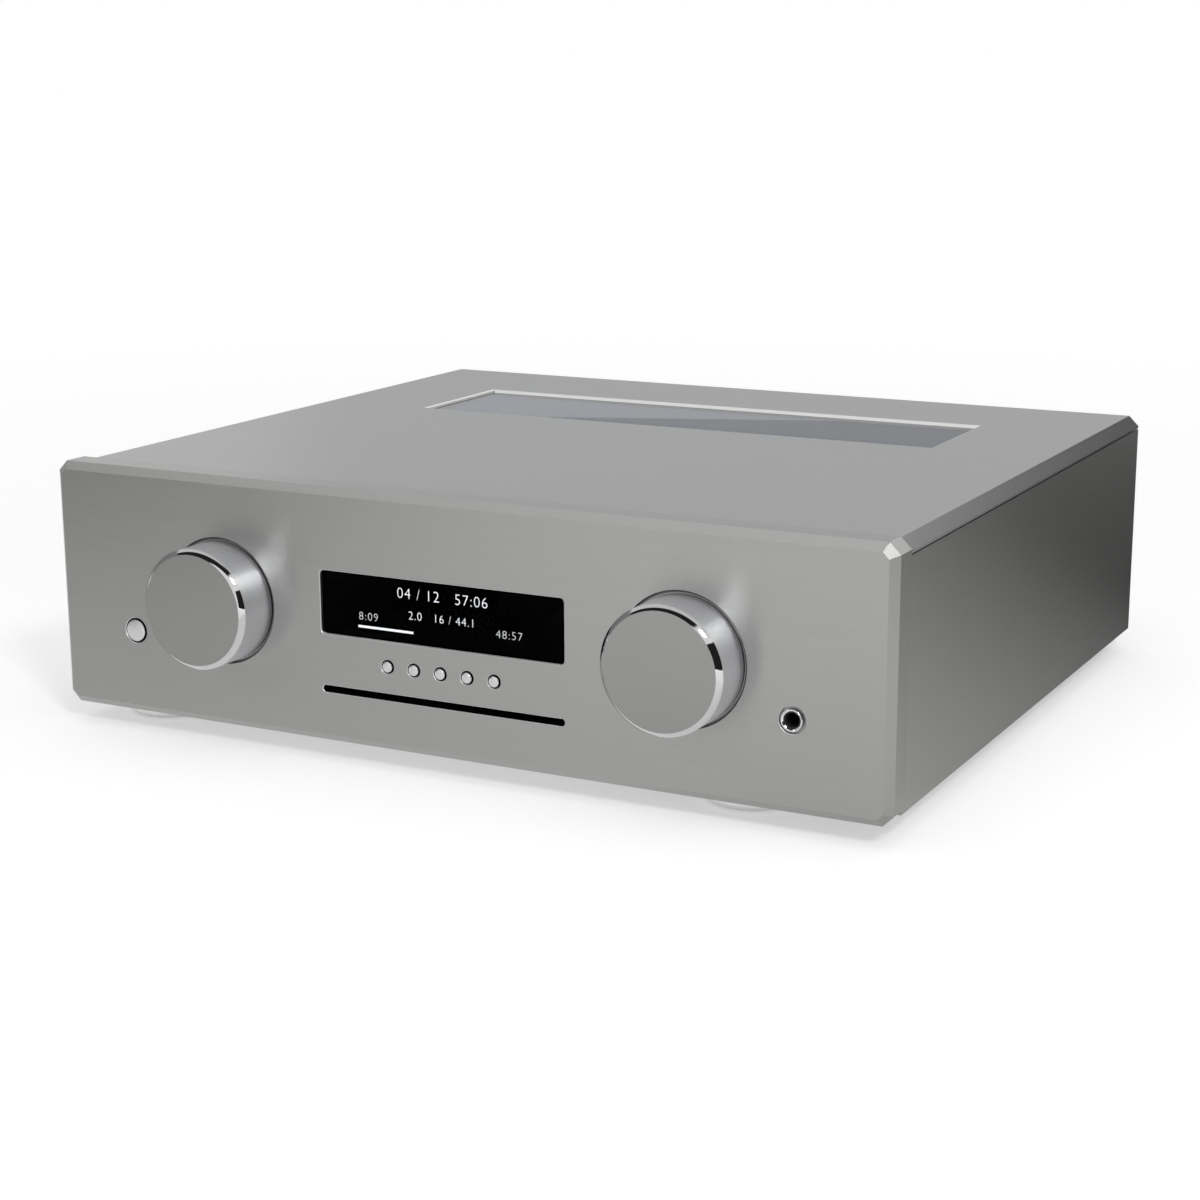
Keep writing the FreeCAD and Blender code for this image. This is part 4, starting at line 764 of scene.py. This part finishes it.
# Base, feet and screws
# The base is plated steel with punched cooling slots. The feet are turned aluminium with a rounded
# lower edge and a rubber ring let in; the screws are black-oiled steel with a hexagon socket.
coat(zinc_sheet, "base_plate")
foot_turned, tree, shader = new_material("foot_turned")
shader.inputs["Metallic"].default_value = 1.0
hoops = noise(tree, own_place(tree, (90, 90, 3200)), 2.0)
tones(tree, shader, hoops, (0.74, 0.74, 0.735), (0.80, 0.80, 0.795))
# The foot's lowest 1.4 mm is coloured dark grey.
height = axes_of(tree, own_place(tree))["Z"]
low_edge = maths(tree, "LESS_THAN", height, 1.4 * MM)
overlay(tree, shader.inputs["Base Color"], low_edge, (0.24, 0.24, 0.235))
tree.links.new(range_of(tree, hoops, 0.24, 0.34, 0.3, 0.7), shader.inputs["Roughness"])
relief(tree, shader, hoops, 0.001 * MM, 0.3 * MM)
coat(foot_turned, "feet")

rubber, tree, shader = new_material("rubber")
specks = noise(tree, own_place(tree, (900, 900, 900)), 3.0)
tones(tree, shader, specks, (0.012, 0.012, 0.012), (0.03, 0.03, 0.03))
tree.links.new(range_of(tree, specks, 0.7, 0.9, 0.3, 0.7), shader.inputs["Roughness"])
shader.inputs["Specular IOR Level"].default_value = 0.3
relief(tree, shader, specks, 0.02 * MM, 0.3 * MM)
coat(rubber, "foot_pads")

black_steel = brushed_metal("black_steel", (0.06, 0.06, 0.063), 0.36, (1200, 1200, 1200), 0.12 * MM)
coat(black_steel, "case_screws")

# Slot drive
# A folded steel tray under a flat steel cover. A motor turns a rubber roller through two plastic
# gears to draw the disc in, and a frame with spindle, rods, screw and laser sled lifts to meet it.
coat(zinc_sheet, "drive_chassis")
cover_sheet = sheet_steel("cover_sheet", (0.40, 0.41, 0.42), 0.34, 220.0)
coat(cover_sheet, "drive_cover")
coat(moulded_plastic("clamp_plastic", (0.03, 0.03, 0.032)), "disc_clamp")
coat(rubber, "loading_roller")
gear_white = moulded_plastic("gear_white", (0.62, 0.60, 0.54), 0.38, 0.008)
coat(gear_white, "roller_shaft", "motor_pinion")
motor_can = brushed_metal("motor_can", (0.50, 0.50, 0.51), 0.22, (500, 500, 500), 0.4 * MM, contrast=0.04)
coat(motor_can, "loading_motor", "spindle_motor", "sled_motor")
coat(moulded_plastic("frame_plastic", (0.022, 0.023, 0.026), 0.5), "traverse_frame")
coat(steel_turned, "sled_rails")
coat(moulded_plastic("turntable_plastic", (0.035, 0.035, 0.038), 0.4), "turntable")
thread, tree, shader = new_material("lead_screw_thread")
shader.inputs["Metallic"].default_value = 1.0
wave = tree.nodes.new("ShaderNodeTexWave")
wave.bands_direction = "Y"
wave.inputs["Scale"].default_value = 520.0
tree.links.new(own_place(tree), wave.inputs["Vector"])
# Painted shade and highlight: the thread is coloured dark in its grooves and light on its crests, following
# its relief.
tones(tree, shader, wave.outputs["Fac"], (0.22, 0.22, 0.22), (0.6, 0.6, 0.6), 0.2, 0.8)
shader.inputs["Roughness"].default_value = 0.25
relief(tree, shader, wave.outputs["Fac"], 0.1 * MM)
coat(thread, "lead_screw")
coat(moulded_plastic("sled_plastic", (0.05, 0.05, 0.055), 0.42), "laser_sled")

# Rear panel
# 3 mm steel, powder-coated in fine black, with plain printed figures over the line sockets and a
# plus or minus over each binding post.
powder, tree, shader = new_material("black_powder")
grit = noise(tree, own_place(tree, (1700, 1700, 1700)), 2.0)
tones(tree, shader, grit, (0.014, 0.014, 0.015), (0.024, 0.024, 0.026))
tree.links.new(range_of(tree, grit, 0.42, 0.6, 0.3, 0.7), shader.inputs["Roughness"])
relief(tree, shader, grit, 0.03 * MM, 0.3 * MM)
coat(powder, "rear_panel")
rear_face = 185.0 * MM
print_white, tree, shader = new_material("print_white")
wear = noise(tree, own_place(tree, (2500, 2500, 2500)), 2.0)
tones(tree, shader, wear, (0.55, 0.55, 0.54), (0.74, 0.74, 0.73))
shader.inputs["Roughness"].default_value = 0.6
bm = bmesh.new()
print_y = rear_face + 0.02 * MM
socket_xs = [(column - 2.5) * 17.0 * MM for column in range(6)]
for column, x in enumerate(socket_xs):
    figures(bm, str(6 - column), 3.2 * MM, x, print_y, 107.5 * MM, facing=1)
post_xs = [-112.5 * MM, -87.5 * MM, 137.5 * MM, 162.5 * MM]
for place, x in enumerate(post_xs):
    figures(bm, "+" if place % 2 else "-", 5.0 * MM, x, print_y, 56.0 * MM, facing=1)
made("rear_print", bm, [print_white], "cabinet", node_slot["rear_panel"])

# Binding posts
# Four posts for the loudspeaker leads: an insulating collar moulded over a gold-plated stem, a nut
# behind the panel, and a fluted, plated cap that screws down on the lead.
gold = polished_metal("gold_plate", (0.80, 0.56, 0.22), 0.14)
cap_plate = polished_metal("cap_plate", (0.60, 0.60, 0.61), 0.16)
coat(moulded_plastic("post_black", (0.02, 0.02, 0.02), 0.4), "binding_posts")
post_red = moulded_plastic("post_red", (0.42, 0.012, 0.010), 0.35)
post_dark = moulded_plastic("post_dark", (0.018, 0.018, 0.02), 0.35)
post_z = 42.0 * MM
stem_end = 205.98 * MM
plug_radius = 2.02 * MM
plug_floor = 192.2 * MM
for number, x in enumerate(post_xs, 1):
    name = "post_cap_%d" % number
    low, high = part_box(name)
    coat(cap_plate, name)
    band = post_red if number % 2 == 0 else post_dark
    bm = bmesh.new()
    radius = (high.x - low.x) / 2
    profile = [(radius - 0.6 * MM, high.y - 0.02 * MM), (radius - 0.9 * MM, high.y + 0.25 * MM),
               (4.2 * MM, high.y + 0.25 * MM), (3.9 * MM, high.y - 0.02 * MM)]
    turned(bm, profile, (x, 0, post_z), steps=64)
    made(name + "_band", bm, [band], "cap_%d" % number, node_slot[name])
    bm = bmesh.new()
    collar_y = rear_face + 2.9 * MM
    profile = [(0, collar_y), (3.05 * MM, collar_y), (3.05 * MM, stem_end - 0.38 * MM),
               (2.75 * MM, stem_end), (plug_radius, stem_end), (plug_radius, plug_floor), (0, plug_floor)]
    turned(bm, profile, (x, 0, post_z), steps=48)
    made("post_stem_%d" % number, bm, [gold], "cabinet", node_slot[name])
    bm = bmesh.new()
    profile = [(8.02 * MM, rear_face + 0.05 * MM), (8.02 * MM, rear_face + 2.3 * MM),
               (7.4 * MM, rear_face + 3.04 * MM), (3.2 * MM, rear_face + 3.04 * MM)]
    turned(bm, profile, (x, 0, post_z), steps=64)
    made("post_collar_%d" % number, bm, [band], "cabinet", node_slot[name])

# Line and antenna sockets
# Twelve gold-plated phono sockets in two rows, each with a coloured insulator in its sleeve, and one
# nickel-plated aerial socket with its pin.
coat(moulded_plastic("socket_body", (0.02, 0.02, 0.022)), "line_sockets")
ring_red = moulded_plastic("ring_red", (0.40, 0.015, 0.012), 0.35, 0.006)
ring_white = moulded_plastic("ring_white", (0.66, 0.66, 0.64), 0.35, 0.006)
bm = bmesh.new()
out = rear_face + 9.0 * MM
for x in socket_xs:
    for row, z in enumerate((76.0 * MM, 96.0 * MM)):
        place = (x, 0, z)
        sleeve_and_flange = [
            (5.95 * MM, rear_face + 0.02 * MM), (5.95 * MM, rear_face + 0.8 * MM),
            (5.6 * MM, rear_face + 1.05 * MM), (4.2 * MM, rear_face + 1.05 * MM),
            (4.2 * MM, out - 0.4 * MM), (3.9 * MM, out + 0.02 * MM), (3.35 * MM, out + 0.02 * MM),
            (3.3 * MM, out - 0.1 * MM), (3.3 * MM, rear_face + 0.02 * MM)]
        insulator = [(3.32 * MM, out - 0.1 * MM), (3.25 * MM, out + 0.04 * MM),
                     (2.2 * MM, out + 0.04 * MM), (1.75 * MM, out - 0.3 * MM)]
        pin_lining = [
            (0, rear_face + 0.3 * MM), (1.75 * MM, rear_face + 0.3 * MM), (1.75 * MM, out - 0.3 * MM),
            (1.58 * MM, out - 0.5 * MM), (1.58 * MM, rear_face + 0.4 * MM), (0, rear_face + 0.4 * MM)]
        turned(bm, sleeve_and_flange, place, steps=32, index=0)
        turned(bm, insulator, place, steps=32, index=1 + row)
        turned(bm, pin_lining, place, steps=24, index=0)
made("line_socket_sleeves", bm, [gold, ring_red, ring_white], "cabinet", node_slot["line_sockets"],
     sharp=40)
coat(cap_plate, "antenna_socket")

# Mains inlet and rocker switch
# One black thermoplastic moulding holds the three plated blades and the well of the rocker. The
# rocker is marked with a bar for on and a ring for off.
coat(black_plastic, "mains_inlet", "mains_rocker")
bm = bmesh.new()
inlet_x, inlet_z = -170.0 * MM, 46.0 * MM
blade_y = 188.0 * MM - 17.0 * MM
half_thick, half_wide = 1.05, 2.05
for dx, dz in ((-7, -2), (7, -2), (0, 2)):
    bar(bm, inlet_x + (dx - half_thick) * MM, inlet_x + (dx + half_thick) * MM, blade_y, blade_y + 13.1 * MM,
        inlet_z + (dz - half_wide) * MM, inlet_z + (dz + half_wide) * MM, 0.35 * MM, 3)
made("inlet_blades", bm, [cap_plate], "cabinet", node_slot["mains_inlet"])
rocker_y, rocker_z = 186.0 * MM, 70.0 * MM
bm = bmesh.new()
bar(bm, -0.35 * MM, 0.35 * MM, 0, 0.03 * MM, -1.8 * MM, 1.8 * MM)
tilt = Matrix.Translation((inlet_x, rocker_y, rocker_z)) @ Matrix.Rotation(math.radians(10), 4, "X")
slope = math.atan2(3.2 - 1.4, 7.0)
on_mark = tilt @ Matrix.Translation((0, 2.36 * MM, 3.7 * MM)) @ Matrix.Rotation(-slope, 4, "X")
bmesh.ops.transform(bm, verts=bm.verts, matrix=on_mark)
before = list(bm.verts)
ring = [(1.9 * MM, 0.0), (1.9 * MM, 0.03 * MM), (1.3 * MM, 0.03 * MM), (1.3 * MM, 0.0)]
turned(bm, ring, (0, 0, 0), steps=32)
ring_verts = [vert for vert in bm.verts if vert not in before]
off_mark = tilt @ Matrix.Translation((0, 2.36 * MM, -3.7 * MM)) @ Matrix.Rotation(slope, 4, "X")
bmesh.ops.transform(bm, verts=ring_verts, matrix=off_mark)
made("rocker_marks", bm, [print_white], "rocker", node_slot["mains_rocker"])

# Transformer and supply
# A toroid wound with enamelled copper under clear tape, and the supply board with its relay, bridge
# rectifier and four sleeved electrolytic cans.
copper, tree, shader = new_material("toroid_winding")
shader.inputs["Metallic"].default_value = 0.6
low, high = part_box("toroid_transformer")
toroid_centre = ((low.x + high.x) / 2, (low.y + high.y) / 2, 0)
winding_turns = 140.0
parts = axes_of(tree, own_place(tree, (1, 1, 1), tuple(-c for c in toroid_centre)))
angle = maths(tree, "ARCTAN2", parts["Y"], parts["X"])
ripple = maths(tree, "SINE", maths(tree, "MULTIPLY", angle, winding_turns))
# Painted shade and highlight: the winding is coloured dark between its turns and light on their crests,
# following its relief.
tones(tree, shader, ripple, (0.20, 0.055, 0.018), (0.52, 0.20, 0.07), -1.0, 1.0)
shader.inputs["Roughness"].default_value = 0.32
shader.inputs["Coat Weight"].default_value = 0.4
relief(tree, shader, ripple, 0.12 * MM)
coat(copper, "toroid_transformer")
coat(board_green, "power_board", "amplifier_boards")
sleeve, tree, shader = new_material("capacitor_sleeve")
height = axes_of(tree, own_place(tree))["Z"]
tones(tree, shader, height, (0.012, 0.014, 0.03), (0.40, 0.41, 0.42), 68.8 * MM, 69.0 * MM)
shader.inputs["Roughness"].default_value = 0.3
film = noise(tree, own_place(tree, (300, 300, 120)), 2.0)
relief(tree, shader, film, 0.05 * MM, 0.8 * MM)
coat(sleeve, "reservoir_capacitors")

# Amplifier heatsinks, boards and spacers
# Black-anodised aluminium extrusions stand against the rails, with a class-D amplifier board beside
# each one. All boards stand on brass spacers.
fin_black = brushed_metal("fin_black", (0.025, 0.025, 0.027), 0.42, (1200, 1200, 40), 0.2 * MM, 0.7)
coat(fin_black, "heatsinks")
coat(brushed_metal("spacer_brass", (0.62, 0.47, 0.22), 0.3, (900, 900, 900), 0.2 * MM), "board_spacers")
coat(board_green, "digital_board")

# Valve stage
# Two small signal valves stand in ceramic sockets under the window. Each has a clear glass envelope
# with a silver getter patch inside its top, mica discs and a grey anode with cooling wings.
coat(circuit_board("valve_board", (0.010, 0.018, 0.05)), "tube_board")
ceramic = moulded_plastic("ceramic", (0.70, 0.68, 0.62), 0.3, 0.006)
valve_glass, tree, shader = new_material("valve_glass")
shader.inputs["Base Color"].default_value = (0.93, 0.95, 0.95, 1)
shader.inputs["Transmission Weight"].default_value = 1.0
shader.inputs["IOR"].default_value = 1.12
swirl = noise(tree, own_place(tree, (90, 90, 60)), 2.0)
tree.links.new(range_of(tree, swirl, 0.0, 0.02, 0.3, 0.7), shader.inputs["Roughness"])
getter = polished_metal("getter_patch", (0.45, 0.46, 0.48), 0.12)
anode = brushed_metal("anode_grey", (0.10, 0.10, 0.105), 0.5, (500, 500, 1500), 0.1 * MM, 0.6)
mica, tree, shader = new_material("mica")
flakes = noise(tree, own_place(tree, (400, 400, 400)), 3.0)
tones(tree, shader, flakes, (0.55, 0.52, 0.44), (0.80, 0.78, 0.70))
shader.inputs["Roughness"].default_value = 0.3
low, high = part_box("tubes")
valve_y = (low.y + high.y) / 2
glass_bm, inner_bm, socket_bm = bmesh.new(), bmesh.new(), bmesh.new()
base_z = low.z
envelope_radius = 10.98 * MM
dome = 8.0 * MM
for x in (-32.0 * MM, 32.0 * MM):
    place = (x, valve_y, 0)
    shoulder = [(math.cos(math.radians(angle)) * dome + 3.0 * MM,
                 base_z + 38.0 * MM + math.sin(math.radians(angle)) * dome) for angle in range(0, 91, 15)]
    tip = [(2.0 * MM, base_z + 46.3 * MM), (1.6 * MM, base_z + 47.4 * MM), (0, base_z + 48.0 * MM)]
    turned(glass_bm, [(0, base_z + 0.1 * MM), (9.6 * MM, base_z + 0.1 * MM), (10.9 * MM, base_z + 1.6 * MM)]
           + [(min(r, envelope_radius), z) for r, z in shoulder] + tip, place, "Z", 64)
    turned(inner_bm, [(0, base_z + 44.3 * MM)]
           + [(r * 0.93, z - 0.5 * MM) for r, z in reversed(shoulder[3:])]
           + [(7.0 * MM, base_z + 43.0 * MM), (0, base_z + 43.9 * MM)], place, "Z", 48, 0)
    for disc_z in (base_z + 9.0 * MM, base_z + 35.0 * MM):
        turned(inner_bm, [(0, disc_z), (9.6 * MM, disc_z), (9.6 * MM, disc_z + 0.5 * MM),
                          (0, disc_z + 0.5 * MM)], place, "Z", 24, 1)
    first = len(inner_bm.faces)
    for anode_x in (x - 3.2 * MM, x + 3.2 * MM):
        bar(inner_bm, anode_x - 2.4 * MM, anode_x + 2.4 * MM, valve_y - 3.4 * MM,
            valve_y + 3.4 * MM, base_z + 11.0 * MM, base_z + 33.5 * MM, 1.1 * MM, 3)
        bar(inner_bm, anode_x - 0.2 * MM, anode_x + 0.2 * MM, valve_y - 6.6 * MM,
            valve_y + 6.6 * MM, base_z + 12.0 * MM, base_z + 32.5 * MM, 0.1 * MM, 1)
    inner_bm.faces.ensure_lookup_table()
    for face in inner_bm.faces[first:]:
        face.material_index = 2
    turned(socket_bm, [(12.02 * MM, base_z - 7.9 * MM), (12.02 * MM, base_z - 1.0 * MM),
                       (11.2 * MM, base_z + 0.03 * MM), (10.0 * MM, base_z + 0.03 * MM)], place, "Z", 64)
made("valve_envelopes", glass_bm, [valve_glass], "cabinet", node_slot["tubes"], "tubes")
made("valve_electrodes", inner_bm, [getter, mica, anode], "cabinet", node_slot["tubes"])
made("valve_sockets", socket_bm, [ceramic], "cabinet", node_slot["tube_board"])
